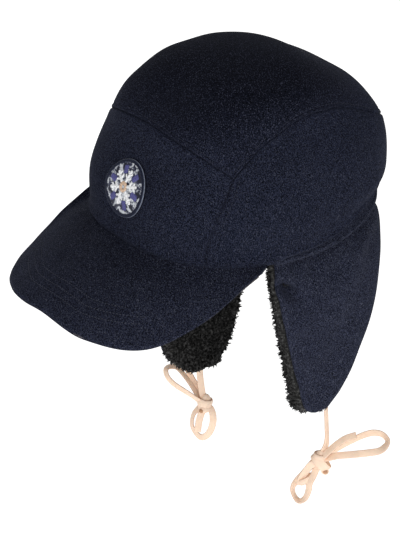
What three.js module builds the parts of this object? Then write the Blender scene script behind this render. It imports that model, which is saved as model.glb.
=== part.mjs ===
// Wool earflap cap: four crown panels, a curved peak, two pile lined flaps, a round badge
// and two leather ties.
// Millimetres, +Z up. The peak points along -Y and the wearer's left is +X.
// The origin is the middle of the head opening, level with the lower edge of the crown at both sides.

import * as THREE from 'three';
import { mergeVertices } from 'three/addons/utils/BufferGeometryUtils.js';

// Driving dimensions of the cloth pieces
const WALL = 2.6;
const GAP = 0.4;
const SEAM_DIP = 0.9;
const SEAM_DIP_REACH = 3.5;

// Crown: one row per level, from the lower edge (0) to the top (1)
const CROWN_ROWS = [
  { level: 0.00, halfWidth: 88.0, front: 102.0, back: 102.0, zFront: 7, zSide: 0, zBack: 17, square: 2.45 },
  { level: 0.25, halfWidth: 89.5, front: 100.5, back: 109.0, zFront: 42, zSide: 30, zBack: 32, square: 2.5 },
  { level: 0.50, halfWidth: 84.5, front: 85.5, back: 106.0, zFront: 69, zSide: 60, zBack: 62, square: 2.5 },
  { level: 0.70, halfWidth: 72.5, front: 77.0, back: 89.0, zFront: 90, zSide: 84, zBack: 86, square: 2.4 },
  { level: 0.85, halfWidth: 58, front: 56.5, back: 63, zFront: 102, zSide: 108, zBack: 103, square: 2.4 },
  { level: 0.93, halfWidth: 34, front: 33, back: 37, zFront: 117, zSide: 119, zBack: 117.5, square: 2.2 },
  { level: 1.00, halfWidth: 0, front: 0, back: 0, zFront: 123.5, zSide: 123.5, zBack: 123.5, square: 2.0 },
];

// Seam round the top panel: its level against the angle from the front, the same on both sides
const TOP_SEAM_ROWS = [
  { angle: 0, level: 0.690 },
  { angle: 12, level: 0.683 },
  { angle: 25, level: 0.655 },
  { angle: 36, level: 0.615 },
  { angle: 45.5, level: 0.562 },
  { angle: 51.5, level: 0.520 },
  { angle: 58, level: 0.610 },
  { angle: 67, level: 0.690 },
  { angle: 78, level: 0.732 },
  { angle: 93, level: 0.761 },
  { angle: 108, level: 0.763 },
  { angle: 124, level: 0.738 },
  { angle: 137, level: 0.664 },
  { angle: 147, level: 0.565 },
  { angle: 160, level: 0.470 },
  { angle: 180, level: 0.430 },
];

// Seam between the front panel and each side panel: its angle against the level
const FRONT_SEAM_ROWS = [
  { level: 0.00, angle: 40.0 },
  { level: 0.13, angle: 42.0 },
  { level: 0.29, angle: 45.5 },
  { level: 0.42, angle: 49.0 },
  { level: 0.52, angle: 51.5 },
];
const CORNER_ANGLE = 51.5;
const CORNER_LEVEL = 0.52;

// Angles at which the panels meet along the top seam, closer together beside the other seams
const FRONT_ANGLES = [0, 10, 20, 30, 39, 45.5, 49.3];
const SIDE_ANGLES = [
  53.2, 55.5, 59, 64, 70, 78, 86, 93, 101, 108, 116, 124, 131, 137, 142, 147, 153.5, 161, 169, 176, 178.4,
];

// Peak: its outer edge against the share of its half width, and the angle where it ends on the crown
const PEAK_EDGE_ROWS = [
  { share: 0.00, across: 0, forward: 168.0, height: -27.0 },
  { share: 0.30, across: 46, forward: 163.0, height: -31.5 },
  { share: 0.60, across: 79, forward: 138.0, height: -34.5 },
  { share: 0.85, across: 91.5, forward: 93.0, height: -21.5 },
  { share: 1.00, across: 88, forward: 44.5, height: -1.8 },
];
const PEAK_END_ANGLE = 68;
const PEAK_ROOT_INSET = 3.0;
const PEAK_THICK = 3.4;
const PEAK_EDGE_THICK = 2.2;
const PEAK_BULGE = 3.0;
// Columns of points across the peak, and how far they crowd towards its two ends, in radians
const PEAK_COLUMNS = 28;
const PEAK_CROWDING = 1.35;

// Rim band: the folded cloth that shows under the lower edge of the crown, from flap to flap round the back
const BAND_START_ANGLE = 70.5;
const BAND_TURNS = 38;
const BAND_SECTION = [
  { inset: 3.0, height: 12.0 },
  { inset: 3.0, height: -0.9 },
  { inset: 1.0, height: -1.4 },
  { inset: 0.8, height: -3.6 },
  { inset: 1.8, height: -5.0 },
  { inset: 4.6, height: -5.0 },
  { inset: 5.4, height: -3.5 },
  { inset: 5.4, height: 12.0 },
];

// Earflap: one row per depth under the rim, with its front and back ends as angles round the crown
// and how far its face stands out from the rim at each end
const FLAP_ROWS = [
  { depth: -12, front: 71, back: 150, outFront: -5.8, outBack: -5.8 },
  { depth: 6, front: 71.5, back: 149, outFront: -5.8, outBack: -5.6 },
  { depth: 11, front: 72, back: 147, outFront: -4, outBack: -2 },
  { depth: 20, front: 73, back: 143, outFront: -2, outBack: 3 },
  { depth: 45, front: 76, back: 135, outFront: -1, outBack: 6 },
  { depth: 70, front: 79.5, back: 128, outFront: -1, outBack: 6 },
  { depth: 95, front: 83.5, back: 121, outFront: -2, outBack: 3 },
  { depth: 112, front: 86.5, back: 116, outFront: -3, outBack: 1 },
  { depth: 124, front: 88.5, back: 111, outFront: -3, outBack: -1 },
  { depth: 131, front: 90.5, back: 107, outFront: -4, outBack: -3 },
  { depth: 135, front: 94, back: 104, outFront: -5, outBack: -4 },
  { depth: 136.5, front: 97, back: 101, outFront: -5, outBack: -5 },
];
const FLAP_DEPTHS = [-12, -3, 6, 13, 20, 28, 38, 52, 68, 84, 98, 109, 118, 124.5, 129, 132.5, 135, 136.5];
const FLAP_COLUMNS = 10;
// Depth over which a flap loses the slope of the rim it hangs from
const FLAP_LEVEL_DEPTH = 30;
const FLAP_CREASE = { angle: 79, depth: 29, width: 4, length: 12, deep: 2.2, slant: 0.75 };
// Mean length of one degree round the rim
const MM_PER_DEGREE = 1.55;

// Pile lining: thickness in the middle and at the edges, how far it stands out past the edges of the
// shell, the depth it starts at, and the depth over which it thins towards the tip
const PILE_THICK = 8.4;
const PILE_EDGE_THICK = 7.2;
const PILE_OVERHANG = 1.5;
const PILE_TOP_DEPTH = -8;
const PILE_TIP_DEPTH = 14;
// Lumps of its surface: height, waves across the flap and waves for each millimetre of depth
const PILE_LUMP = { high: 0.7, across: 19, down: 0.31, acrossBack: 11, downBack: 0.23 };

// How each flap hangs: sideways and backward travel for each millimetre of depth, its length
// against the rows, and how far both edges of its tip are spread, in degrees round the crown
const FLAP_HANG = {
  left: { side: 1, sideways: 0.0, backward: 0.0, stretch: 1.0, spreadFront: 0, spreadBack: 0 },
  right: { side: -1, sideways: 0.2, backward: -0.02, stretch: 1.12, spreadFront: 10, spreadBack: 3.2 },
};

// Badge on the front panel
const BADGE_ANGLE = 1.5;
const BADGE_LEVEL = 0.285;
const BADGE_RADIUS = 20.6;
const BADGE_RIM_WIDTH = 2.6;
const BADGE_RIM_HIGH = 2.2;
const BADGE_FACE_THICK = 1.2;
// Height of the crown for each unit of level, and how much further its flat front reaches for each degree
const CROWN_HEIGHT_PER_LEVEL = 128;
const BADGE_SPREAD = 1.1;

// Leather ties. Each has its own frame at the middle of its knot: across, out to the front left, and up.
// Routes are [across, out, up]; those that start or end in the knot are cut where they come clear of it.
const LACE_DIAMETER = 3.4;
const LACE_SIDES = 8;
const KNOT_GAP = 0.4;
const KNOT_SIDES = 14;
// Ridges wound round a knot: their height as a share of it, and how close they lie
const KNOT_RIDGE = 0.07;
const KNOT_RIDGES = 7;
const TIE_HEADING = 52;
const TIES = {
  left: {
    middle: { x: 81.4, y: 14.7, z: -178 },
    knot: { halfAcross: 5.2, halfOut: 4.6, halfUp: 8.4, lean: -14 },
    pieces: {
      strand: {
        steps: 6,
        route: [
          [4.5, -0.4, 41.4], [4.9, -0.3, 34.5], [5.2, -0.1, 27], [5.5, 0, 20], [4.8, 0, 12.5], [1.5, 0, 3],
        ],
      },
      bow_loop: {
        steps: 16,
        route: [
          [1, 1, 1], [6.5, 2.6, 3.2], [13.6, 4.6, 6.3], [24.3, 6.6, 8.6], [34.9, 7.4, 10.4],
          [43.4, 5.6, 11.1], [47.9, 1.6, 13.1], [49.2, -2.6, 15.2], [45.5, -7.4, 17.3], [39.1, -9.6, 17.3],
          [31.7, -10, 14.8], [24.3, -9, 11.3], [16.8, -6.6, 7.8], [10.5, -3.8, 4.5], [1, -1, 1],
        ],
      },
      tail: {
        steps: 4,
        route: [[2.5, 3, 4], [6.5, 3.4, 8.9], [12.2, 3.2, 14.6], [19, 2.8, 19.6], [26.6, 2.4, 22.2]],
      },
      lower_loop: {
        steps: 12,
        route: [
          [-1, -0.6, 1], [-4.6, -1.6, -3.4], [-7.6, -2.6, -8.6], [-12.9, -4.4, -16.7], [-16.9, -5.8, -22.8],
          [-18.7, -6, -28.3], [-17.1, -4.4, -33.3], [-13.9, -1.2, -35.1], [-9.7, 2.8, -30.4],
          [-7.4, 4.6, -22.9], [-6.7, 4.8, -16.8], [-3.8, 3.6, -10.8], [-1, 1.6, -4],
        ],
      },
      lower_tail: {
        steps: 4,
        route: [[-1, 3.2, 0.4], [-6, 2.4, -2.5], [-9.7, 1.2, -9], [-12.9, 0.4, -15.4], [-13.9, 0.2, -20.3]],
      },
    },
  },
  right: {
    middle: { x: -47.6, y: 9.8, z: -187.8 },
    knot: { halfAcross: 4.6, halfOut: 4.2, halfUp: 6.2, lean: -8 },
    pieces: {
      strand: {
        steps: 5,
        route: [[-3.4, 0, 34.3], [-3.8, 0, 29], [-3.3, 0, 21.3], [-2.4, 0, 13.1], [-1, 0, 3]],
      },
      bow_loop: {
        steps: 14,
        route: [
          [-1, 1, 1], [-5, 1.6, 4], [-9.4, 1.8, 7.6], [-15.4, 1.2, 11.6], [-23.4, -1.5, 16.2],
          [-28, -4.6, 20.6], [-29, -7.4, 24.8], [-26.4, -9.4, 26], [-23, -9.6, 26], [-19.6, -8, 25.2],
          [-15, -6, 20.4], [-10.8, -4, 15], [-7.2, -2.2, 9.6], [-1, -1, 1],
        ],
      },
      tail: {
        steps: 4,
        route: [[-0.8, -3.5, 2], [-4, -6, 6.6], [-8, -8.4, 14], [-12, -10.2, 21], [-14.6, -11.2, 26.4]],
      },
      lower_loop: {
        steps: 12,
        route: [
          [1, 0.6, -1], [4.4, 2.4, -3.2], [6.1, 4, -7.9], [5.9, 4.2, -15.4], [2.9, 2.4, -24.4],
          [-2, -0.8, -29.6], [-6.2, -3.6, -28.2], [-9.6, -5, -21.7], [-8.6, -4, -11.9], [-5.3, -2.4, -6],
          [-1, -0.4, -1],
        ],
      },
      lower_tail: {
        steps: 4,
        route: [[-0.5, 2, -2], [-2.6, 3.2, -7], [-4.2, 3.6, -13], [-5.4, 3.6, -22.4]],
      },
    },
  },
};

const COLOURS = {
  wool: new THREE.Color(0x2a2f45),
  woolDark: new THREE.Color(0x23283c),
  pile: new THREE.Color(0x1b1c1f),
  leather: new THREE.Color(0xe8c4a0),
  badgeRim: new THREE.Color(0x2b3350),
  badgeFace: new THREE.Color(0x8f97ab),
};

const toRadians = THREE.MathUtils.degToRad;

// Smooth value of one column of a table at a place between its rows
function columnAt(rows, key, column, place, startSlope = null, endSlope = null) {
  const last = rows.length - 1;
  let index = 0;
  while (index < last - 1 && place > rows[index + 1][key]) index += 1;
  const secant = (i, j) => (rows[j][column] - rows[i][column]) / (rows[j][key] - rows[i][key]);
  const slopeAt = (i) => {
    if (i === 0) return startSlope === null ? secant(0, 1) : startSlope;
    if (i === last) return endSlope === null ? secant(last - 1, last) : endSlope;
    return secant(i - 1, i + 1);
  };
  const low = rows[index];
  const high = rows[index + 1];
  const span = high[key] - low[key];
  const t = (place - low[key]) / span;
  const t2 = t * t;
  const t3 = t2 * t;
  return (2 * t3 - 3 * t2 + 1) * low[column]
    + (t3 - 2 * t2 + t) * span * slopeAt(index)
    + (3 * t2 - 2 * t3) * high[column]
    + (t3 - t2) * span * slopeAt(index + 1);
}

// Straight-line value of one column of a table
function linearAt(rows, key, column, place) {
  const last = rows.length - 1;
  let index = 0;
  while (index < last - 1 && place > rows[index + 1][key]) index += 1;
  const low = rows[index];
  const high = rows[index + 1];
  const t = THREE.MathUtils.clamp((place - low[key]) / (high[key] - low[key]), 0, 1);
  return low[column] + (high[column] - low[column]) * t;
}

// Point on the outside of the crown at an angle from the front and a level
function crownPoint(angle, level) {
  const column = (name, endSlope = null) => columnAt(CROWN_ROWS, 'level', name, level, null, endSlope);
  const across = Math.sin(toRadians(angle));
  const along = Math.cos(toRadians(angle));
  const reach = Math.max(along > 0 ? column('front') : column('back'), 1e-6);
  const halfWidth = Math.max(column('halfWidth'), 1e-6);
  const square = column('square');
  const sum = (Math.abs(across) / halfWidth) ** square + (Math.abs(along) / reach) ** square;
  const radius = level >= 1 ? 0 : sum ** (-1 / square);
  const zSide = column('zSide', 0);
  const zEnd = along > 0 ? column('zFront', 0) : column('zBack', 0);
  return new THREE.Vector3(radius * across, -radius * along, zSide + (zEnd - zSide) * along * along);
}

// Outward direction of the crown
function crownNormal(angle, level) {
  const step = 0.004;
  const high = Math.min(level + step, 0.996);
  const low = Math.max(Math.min(level - step, 0.988), 0);
  const up = crownPoint(angle, high).sub(crownPoint(angle, low));
  const ring = Math.min(level, 0.99);
  const turn = crownPoint(angle + 0.5, ring).sub(crownPoint(angle - 0.5, ring));
  return turn.cross(up).normalize();
}

function crownInside(angle, level, inset) {
  return crownPoint(angle, level).addScaledVector(crownNormal(angle, level), -inset);
}

// Point level with the lower edge of the crown, moved in by an inset and up by a height
function rimPoint(angle, inset, height) {
  const point = crownPoint(angle, 0);
  const radius = Math.hypot(point.x, point.y);
  const share = (radius - inset) / radius;
  return new THREE.Vector3(point.x * share, point.y * share, point.z + height);
}

function seamDip(distance) {
  return SEAM_DIP * Math.exp(-((distance / SEAM_DIP_REACH) ** 2));
}

// Closed solid from vertices and triangles, turned so that its faces point out
function closedGeometry(points, triangles) {
  let volume = 0;
  for (const [a, b, c] of triangles) {
    volume += points[a].dot(new THREE.Vector3().crossVectors(points[b], points[c]));
  }
  const ordered = volume < 0 ? triangles.map(([a, b, c]) => [a, c, b]) : triangles;
  const geometry = new THREE.BufferGeometry().setFromPoints(points);
  geometry.setIndex(ordered.flat());
  geometry.computeVertexNormals();
  return geometry;
}

// Solid between two grids of points of the same size: a sheet with an outer and an inner face and four edges
function sheetGeometry(outer, inner) {
  const rows = outer.length;
  const columns = outer[0].length;
  const count = rows * columns;
  const points = [...outer.flat(), ...inner.flat()];
  const at = (i, j) => i * columns + j;
  const triangles = [];
  const quad = (a, b, c, d) => triangles.push([a, b, c], [a, c, d]);
  const end = columns - 1;
  for (let i = 0; i < rows - 1; i += 1) {
    for (let j = 0; j < columns - 1; j += 1) {
      quad(at(i, j), at(i, j + 1), at(i + 1, j + 1), at(i + 1, j));
      quad(count + at(i, j), count + at(i + 1, j), count + at(i + 1, j + 1), count + at(i, j + 1));
    }
  }
  for (let j = 0; j < columns - 1; j += 1) {
    quad(at(0, j), count + at(0, j), count + at(0, j + 1), at(0, j + 1));
    quad(at(rows - 1, j), at(rows - 1, j + 1), count + at(rows - 1, j + 1), count + at(rows - 1, j));
  }
  for (let i = 0; i < rows - 1; i += 1) {
    quad(at(i, 0), at(i + 1, 0), count + at(i + 1, 0), count + at(i, 0));
    quad(at(i, end), count + at(i, end), count + at(i + 1, end), at(i + 1, end));
  }
  return closedGeometry(points, triangles);
}

// Solid between two stacks of closed rings that each end in one middle point
function discGeometry(outerRings, outerMiddle, innerRings, innerMiddle) {
  const sides = outerRings[0].length;
  const rings = outerRings.length;
  const points = [...outerRings.flat(), outerMiddle, ...innerRings.flat(), innerMiddle];
  const half = rings * sides + 1;
  const triangles = [];
  for (const [base, turn] of [[0, false], [half, true]]) {
    const face = (a, b, c) => triangles.push(turn ? [a, c, b] : [a, b, c]);
    for (let k = 0; k < sides; k += 1) {
      const next = (k + 1) % sides;
      for (let r = 0; r < rings - 1; r += 1) {
        const low = base + r * sides;
        const high = low + sides;
        face(low + k, low + next, high + next);
        face(low + k, high + next, high + k);
      }
      const rim = base + (rings - 1) * sides;
      face(rim + k, rim + next, base + rings * sides);
    }
  }
  for (let k = 0; k < sides; k += 1) {
    const next = (k + 1) % sides;
    triangles.push([k, half + k, half + next], [k, half + next, next]);
  }
  return closedGeometry(points, triangles);
}

// Solid ring: a closed section repeated round a closed loop
function ringGeometry(sections) {
  const turns = sections.length;
  const sides = sections[0].length;
  const triangles = [];
  for (let i = 0; i < turns; i += 1) {
    for (let k = 0; k < sides; k += 1) {
      const a = i * sides + k;
      const b = i * sides + ((k + 1) % sides);
      const c = ((i + 1) % turns) * sides + ((k + 1) % sides);
      const d = ((i + 1) % turns) * sides + k;
      triangles.push([a, b, c], [a, c, d]);
    }
  }
  return closedGeometry(sections.flat(), triangles);
}

// Solid bar: a closed section repeated along an open run, with a flat face of the given outline on each end
function barGeometry(sections, outline) {
  const sides = sections[0].length;
  const last = (sections.length - 1) * sides;
  const triangles = [];
  for (let i = 0; i < sections.length - 1; i += 1) {
    for (let k = 0; k < sides; k += 1) {
      const a = i * sides + k;
      const b = i * sides + ((k + 1) % sides);
      triangles.push([a, b, b + sides], [a, b + sides, a + sides]);
    }
  }
  for (const [a, b, c] of THREE.ShapeUtils.triangulateShape(outline, [])) {
    triangles.push([a, c, b], [last + a, last + b, last + c]);
  }
  return closedGeometry(sections.flat(), triangles);
}

function evenTurns(count) {
  return Array.from({ length: count }, (_, k) => (k / count) * 2 * Math.PI);
}

function named(name, geometry, colour, roughness) {
  const material = new THREE.MeshStandardMaterial({ color: colour, roughness, metalness: 0 });
  const mesh = new THREE.Mesh(geometry, material);
  mesh.name = name;
  return mesh;
}

function gridOf(rowPlaces, columnPlaces, pointAt) {
  return rowPlaces.map((row) => columnPlaces.map((column) => pointAt(row, column)));
}

// Crown panels
// Rough lengths over the front, side and top panels, from seam to seam
const FRONT_PANEL_RUN = 84;
const FRONT_PANEL_RISE = 78;
const SIDE_PANEL_RUN = 215;
const SIDE_PANEL_RISE = 84;
const TOP_PANEL_RISE = 62;
const SEAM_HALF_GAP_ANGLE = 0.14;
const SEAM_HALF_GAP_LEVEL = 0.0026;
const PANEL_LEVELS = [0, 0.06, 0.2, 0.36, 0.52, 0.68, 0.82, 0.93, 0.97, 1];

function topSeamLevel(angle) {
  const turned = Math.abs(angle > 180 ? angle - 360 : angle);
  if (turned <= CORNER_ANGLE) {
    const front = TOP_SEAM_ROWS.filter((row) => row.angle <= CORNER_ANGLE);
    return columnAt(front, 'angle', 'level', turned, 0);
  }
  const rest = TOP_SEAM_ROWS.filter((row) => row.angle >= CORNER_ANGLE);
  return columnAt(rest, 'angle', 'level', turned, null, 0);
}

function frontSeamAngle(level) {
  if (level >= CORNER_LEVEL) return CORNER_ANGLE;
  return columnAt(FRONT_SEAM_ROWS, 'level', 'angle', level);
}

function frontPanel() {
  const half = [...FRONT_ANGLES.slice(1), CORNER_ANGLE].map((angle) => angle / CORNER_ANGLE);
  const shares = [...half.map((share) => -share).reverse(), 0, ...half];
  const place = (share, step) => {
    const level = step * (topSeamLevel(share * CORNER_ANGLE) - SEAM_HALF_GAP_LEVEL);
    const angle = share * (frontSeamAngle(level) - SEAM_HALF_GAP_ANGLE);
    return { level, angle };
  };
  const outer = gridOf(PANEL_LEVELS, shares, (step, share) => {
    const { level, angle } = place(share, step);
    const toFrontSeam = (1 - Math.abs(share)) * FRONT_PANEL_RUN;
    const dip = Math.max(seamDip(toFrontSeam), seamDip((1 - step) * FRONT_PANEL_RISE));
    return crownInside(angle, level, dip);
  });
  const inner = gridOf(PANEL_LEVELS, shares, (step, share) => {
    const { level, angle } = place(share, step);
    return crownInside(angle, level, WALL);
  });
  return sheetGeometry(outer, inner);
}

function sidePanel(side) {
  const angles = [CORNER_ANGLE, ...SIDE_ANGLES, 180];
  const shares = angles.map((angle) => (angle - CORNER_ANGLE) / (180 - CORNER_ANGLE));
  const place = (share, step) => {
    const base = CORNER_ANGLE + share * (180 - CORNER_ANGLE);
    const level = step * (topSeamLevel(base) - SEAM_HALF_GAP_LEVEL);
    const lean = (frontSeamAngle(level) - CORNER_ANGLE) * (1 - share) ** 3;
    const angle = base + lean + SEAM_HALF_GAP_ANGLE * (1 - 2 * share);
    return { level, angle: side * angle };
  };
  const outer = gridOf(PANEL_LEVELS, shares, (step, share) => {
    const { level, angle } = place(share, step);
    const toSideSeam = Math.min(share, 1 - share) * SIDE_PANEL_RUN;
    const dip = Math.max(seamDip(toSideSeam), seamDip((1 - step) * SIDE_PANEL_RISE));
    return crownInside(angle, level, dip);
  });
  const inner = gridOf(PANEL_LEVELS, shares, (step, share) => {
    const { level, angle } = place(share, step);
    return crownInside(angle, level, WALL);
  });
  return sheetGeometry(outer, inner);
}

function topPanel() {
  const steps = [0, 0.035, 0.09, 0.22, 0.38, 0.56, 0.74, 0.89];
  const half = [...FRONT_ANGLES, CORNER_ANGLE, ...SIDE_ANGLES];
  const angles = [...half, 180, ...half.slice(1).map((angle) => 360 - angle).reverse()];
  const levelAt = (angle, step) => {
    const edge = topSeamLevel(angle) + SEAM_HALF_GAP_LEVEL;
    return edge + (1 - edge) * step;
  };
  const outer = gridOf(steps, angles, (step, angle) => (
    crownInside(angle, levelAt(angle, step), seamDip(step * TOP_PANEL_RISE))
  ));
  const inner = gridOf(steps, angles, (step, angle) => crownInside(angle, levelAt(angle, step), WALL));
  const top = crownPoint(0, 1);
  return discGeometry(outer, top, inner, top.clone().setZ(top.z - WALL));
}

// Peak
function peakTop(share, step) {
  const size = Math.abs(share);
  const root = rimPoint(share * PEAK_END_ANGLE, PEAK_ROOT_INSET, -GAP);
  const edge = new THREE.Vector3(
    Math.sign(share) * columnAt(PEAK_EDGE_ROWS, 'share', 'across', size),
    -columnAt(PEAK_EDGE_ROWS, 'share', 'forward', size, 0),
    columnAt(PEAK_EDGE_ROWS, 'share', 'height', size, 0),
  );
  const point = root.lerp(edge, step);
  const rise = PEAK_BULGE * 4 * step * (1 - step) * (1 - size ** 4) * Math.min(1, step * 4);
  return point.setZ(point.z + rise);
}

function peakNormal(share, step) {
  const delta = 0.01;
  const across = peakTop(Math.min(share + delta, 1), step).sub(peakTop(Math.max(share - delta, -1), step));
  const out = peakTop(share, Math.min(step + delta, 1)).sub(peakTop(share, Math.max(step - delta, 0)));
  const normal = across.cross(out).normalize();
  return normal.z < 0 ? normal.negate() : normal;
}

function peakGeometry() {
  const shares = Array.from({ length: PEAK_COLUMNS + 1 }, (_, i) => (
    Math.sin(((i / PEAK_COLUMNS) * 2 - 1) * PEAK_CROWDING) / Math.sin(PEAK_CROWDING)
  ));
  const steps = [0, 0.06, 0.2, 0.36, 0.52, 0.68, 0.83, 0.95, 1];
  const outer = gridOf(steps, shares, (step, share) => peakTop(share, step));
  const inner = gridOf(steps, shares, (step, share) => {
    const thick = step > 0.94 ? PEAK_EDGE_THICK : PEAK_THICK;
    return peakTop(share, step).addScaledVector(peakNormal(share, Math.max(step, 0.03)), -thick);
  });
  return sheetGeometry(outer, inner);
}

// Rim band
function rimBand() {
  const sections = [];
  for (let i = 0; i <= BAND_TURNS; i += 1) {
    const angle = BAND_START_ANGLE + (360 - 2 * BAND_START_ANGLE) * (i / BAND_TURNS);
    sections.push(BAND_SECTION.map((corner) => rimPoint(angle, corner.inset, corner.height)));
  }
  const outline = BAND_SECTION.map((corner) => new THREE.Vector2(corner.inset, corner.height));
  return barGeometry(sections, outline);
}

// Earflaps
function flapPoint(hang, share, depth, inset) {
  const value = (column) => linearAt(FLAP_ROWS, 'depth', column, depth);
  const down = Math.max(depth, 0) / FLAP_DEPTHS.at(-1);
  const front = value('front') - hang.spreadFront * down;
  const back = value('back') + hang.spreadBack * down;
  const angle = front * (1 - share) + back * share;
  const below = depth - FLAP_CREASE.depth;
  const behind = (angle - FLAP_CREASE.angle) * MM_PER_DEGREE;
  const across = below - behind * FLAP_CREASE.slant;
  const along = behind + below * FLAP_CREASE.slant;
  const spent = (across / FLAP_CREASE.width) ** 2 + (along / FLAP_CREASE.length) ** 2;
  const crease = FLAP_CREASE.deep * Math.exp(-spent);
  const out = value('outFront') * (1 - share) + value('outBack') * share - crease;
  const rim = rimPoint(hang.side * angle, inset - out, 0);
  const drop = Math.max(depth, 0) * hang.stretch;
  const fromRim = rim.z * THREE.MathUtils.clamp(1 - depth / FLAP_LEVEL_DEPTH, 0, 1);
  rim.z = fromRim - (depth < 0 ? depth : drop);
  rim.x += hang.sideways * drop;
  rim.y += hang.backward * drop;
  return rim;
}

function flapShares() {
  return Array.from({ length: FLAP_COLUMNS + 1 }, (_, i) => i / FLAP_COLUMNS);
}

function flapShell(hang) {
  const outer = gridOf(FLAP_DEPTHS, flapShares(), (depth, share) => flapPoint(hang, share, depth, 0));
  const inner = gridOf(FLAP_DEPTHS, flapShares(), (depth, share) => flapPoint(hang, share, depth, WALL));
  return sheetGeometry(outer, inner);
}

// The pile is thickest in the middle of the flap and has a low, uneven surface
function flapLining(hang) {
  const depths = FLAP_DEPTHS.map((depth) => Math.max(depth, PILE_TOP_DEPTH));
  const thickness = (share, depth) => {
    const middle = 1 - Math.abs(2 * share - 1) ** 4;
    const tip = THREE.MathUtils.clamp((FLAP_DEPTHS.at(-1) - depth) / PILE_TIP_DEPTH, 0, 1);
    const ahead = Math.sin(share * PILE_LUMP.across + depth * PILE_LUMP.down);
    const behind = Math.cos(share * PILE_LUMP.acrossBack - depth * PILE_LUMP.downBack);
    return PILE_EDGE_THICK + (PILE_THICK - PILE_EDGE_THICK) * middle * tip + PILE_LUMP.high * ahead * behind;
  };
  const point = (share, depth, inset) => {
    const value = (column) => linearAt(FLAP_ROWS, 'depth', column, depth);
    const width = (value('back') - value('front')) * MM_PER_DEGREE;
    return flapPoint(hang, share + ((2 * share - 1) * PILE_OVERHANG) / width, depth, inset);
  };
  const near = WALL + GAP;
  const outer = gridOf(depths, flapShares(), (depth, share) => point(share, depth, near));
  const inner = gridOf(depths, flapShares(), (depth, share) => (
    point(share, depth, near + thickness(share, depth))
  ));
  return sheetGeometry(outer, inner);
}

// Badge: a round patch that follows the front panel
function badgePoint(radius, turn, stand) {
  const across = radius * Math.sin(turn);
  const up = radius * Math.cos(turn);
  const reach = crownPoint(BADGE_ANGLE, BADGE_LEVEL).length();
  const angle = BADGE_ANGLE + THREE.MathUtils.radToDeg(across / reach) * BADGE_SPREAD;
  const level = BADGE_LEVEL + up / CROWN_HEIGHT_PER_LEVEL;
  return crownInside(angle, level, -stand);
}

function badgeFace() {
  const turns = evenTurns(32);
  const radii = [1, 0.66, 0.33].map((share) => share * (BADGE_RADIUS - BADGE_RIM_WIDTH - 0.3));
  const outer = gridOf(radii, turns, (radius, turn) => badgePoint(radius, turn, GAP + BADGE_FACE_THICK));
  const inner = gridOf(radii, turns, (radius, turn) => badgePoint(radius, turn, GAP));
  return discGeometry(outer, badgePoint(0, 0, GAP + BADGE_FACE_THICK), inner, badgePoint(0, 0, GAP));
}

function badgeRim() {
  const sides = 6;
  const middle = BADGE_RADIUS - BADGE_RIM_WIDTH / 2;
  const sections = evenTurns(30).map((turn) => evenTurns(sides).map((roll) => badgePoint(
    middle + (BADGE_RIM_WIDTH / 2) * Math.cos(roll),
    turn,
    GAP + (BADGE_RIM_HIGH / 2) * (1 + Math.sin(roll)),
  )));
  return ringGeometry(sections);
}

// Leather ties
function merged(geometry) {
  geometry.deleteAttribute('normal');
  geometry.deleteAttribute('uv');
  const solid = mergeVertices(geometry, 1e-4);
  solid.computeVertexNormals();
  return solid;
}

function knotGeometry(knot) {
  const ball = new THREE.SphereGeometry(1, KNOT_SIDES, KNOT_SIDES - 4);
  const wrap = ball.getAttribute('position');
  const point = new THREE.Vector3();
  for (let i = 0; i < wrap.count; i += 1) {
    point.fromBufferAttribute(wrap, i);
    point.multiplyScalar(1 + KNOT_RIDGE * Math.cos(KNOT_RIDGES * (point.y + 0.6 * point.x)));
    wrap.setXYZ(i, point.x * knot.halfAcross, -point.z * knot.halfOut, point.y * knot.halfUp);
  }
  return merged(ball).rotateY(-toRadians(knot.lean));
}

// Share along a route, from one end, at which a lace is clear of the knot
function clearShare(curve, knot, fromEnd) {
  const samples = 300;
  const lean = new THREE.Matrix4().makeRotationY(toRadians(knot.lean));
  for (let i = 0; i <= samples; i += 1) {
    const share = fromEnd ? 1 - i / samples : i / samples;
    const place = curve.getPointAt(share);
    const tangent = curve.getTangentAt(share);
    const side = new THREE.Vector3(0, 1, 0).cross(tangent).normalize();
    const other = tangent.clone().cross(side);
    const clearances = evenTurns(LACE_SIDES).map((turn) => {
      const rim = place.clone();
      rim.addScaledVector(side, (LACE_DIAMETER / 2) * Math.cos(turn));
      rim.addScaledVector(other, (LACE_DIAMETER / 2) * Math.sin(turn));
      rim.applyMatrix4(lean);
      const reach = Math.hypot(rim.x / knot.halfAcross, rim.y / knot.halfOut, rim.z / knot.halfUp);
      return rim.length() * (1 - (1 + KNOT_RIDGE) / reach);
    });
    if (Math.min(...clearances) >= KNOT_GAP) return share;
  }
  throw new Error('a lace never leaves its knot');
}

function laceGeometry(piece, knot) {
  const points = piece.route.map(([across, out, up]) => new THREE.Vector3(across, -out, up));
  const whole = new THREE.CatmullRomCurve3(points, false, 'centripetal');
  const inKnot = (point) => Math.hypot(point.x, point.y, point.z) < knot.halfUp;
  const start = inKnot(points[0]) ? clearShare(whole, knot, false) : 0;
  const end = inKnot(points.at(-1)) ? clearShare(whole, knot, true) : 1;
  const count = 2 * piece.steps;
  const shareAt = (i) => start + (end - start) * (i / count);
  const free = Array.from({ length: count + 1 }, (_, i) => whole.getPointAt(shareAt(i)));
  const corners = evenTurns(LACE_SIDES).map((turn) => new THREE.Vector2(
    (LACE_DIAMETER / 2) * Math.cos(turn),
    (LACE_DIAMETER / 2) * Math.sin(turn),
  ));
  const path = new THREE.CatmullRomCurve3(free, false, 'centripetal');
  return merged(new THREE.ExtrudeGeometry(new THREE.Shape(corners), {
    steps: piece.steps,
    extrudePath: path,
    bevelEnabled: false,
  }));
}

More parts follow.
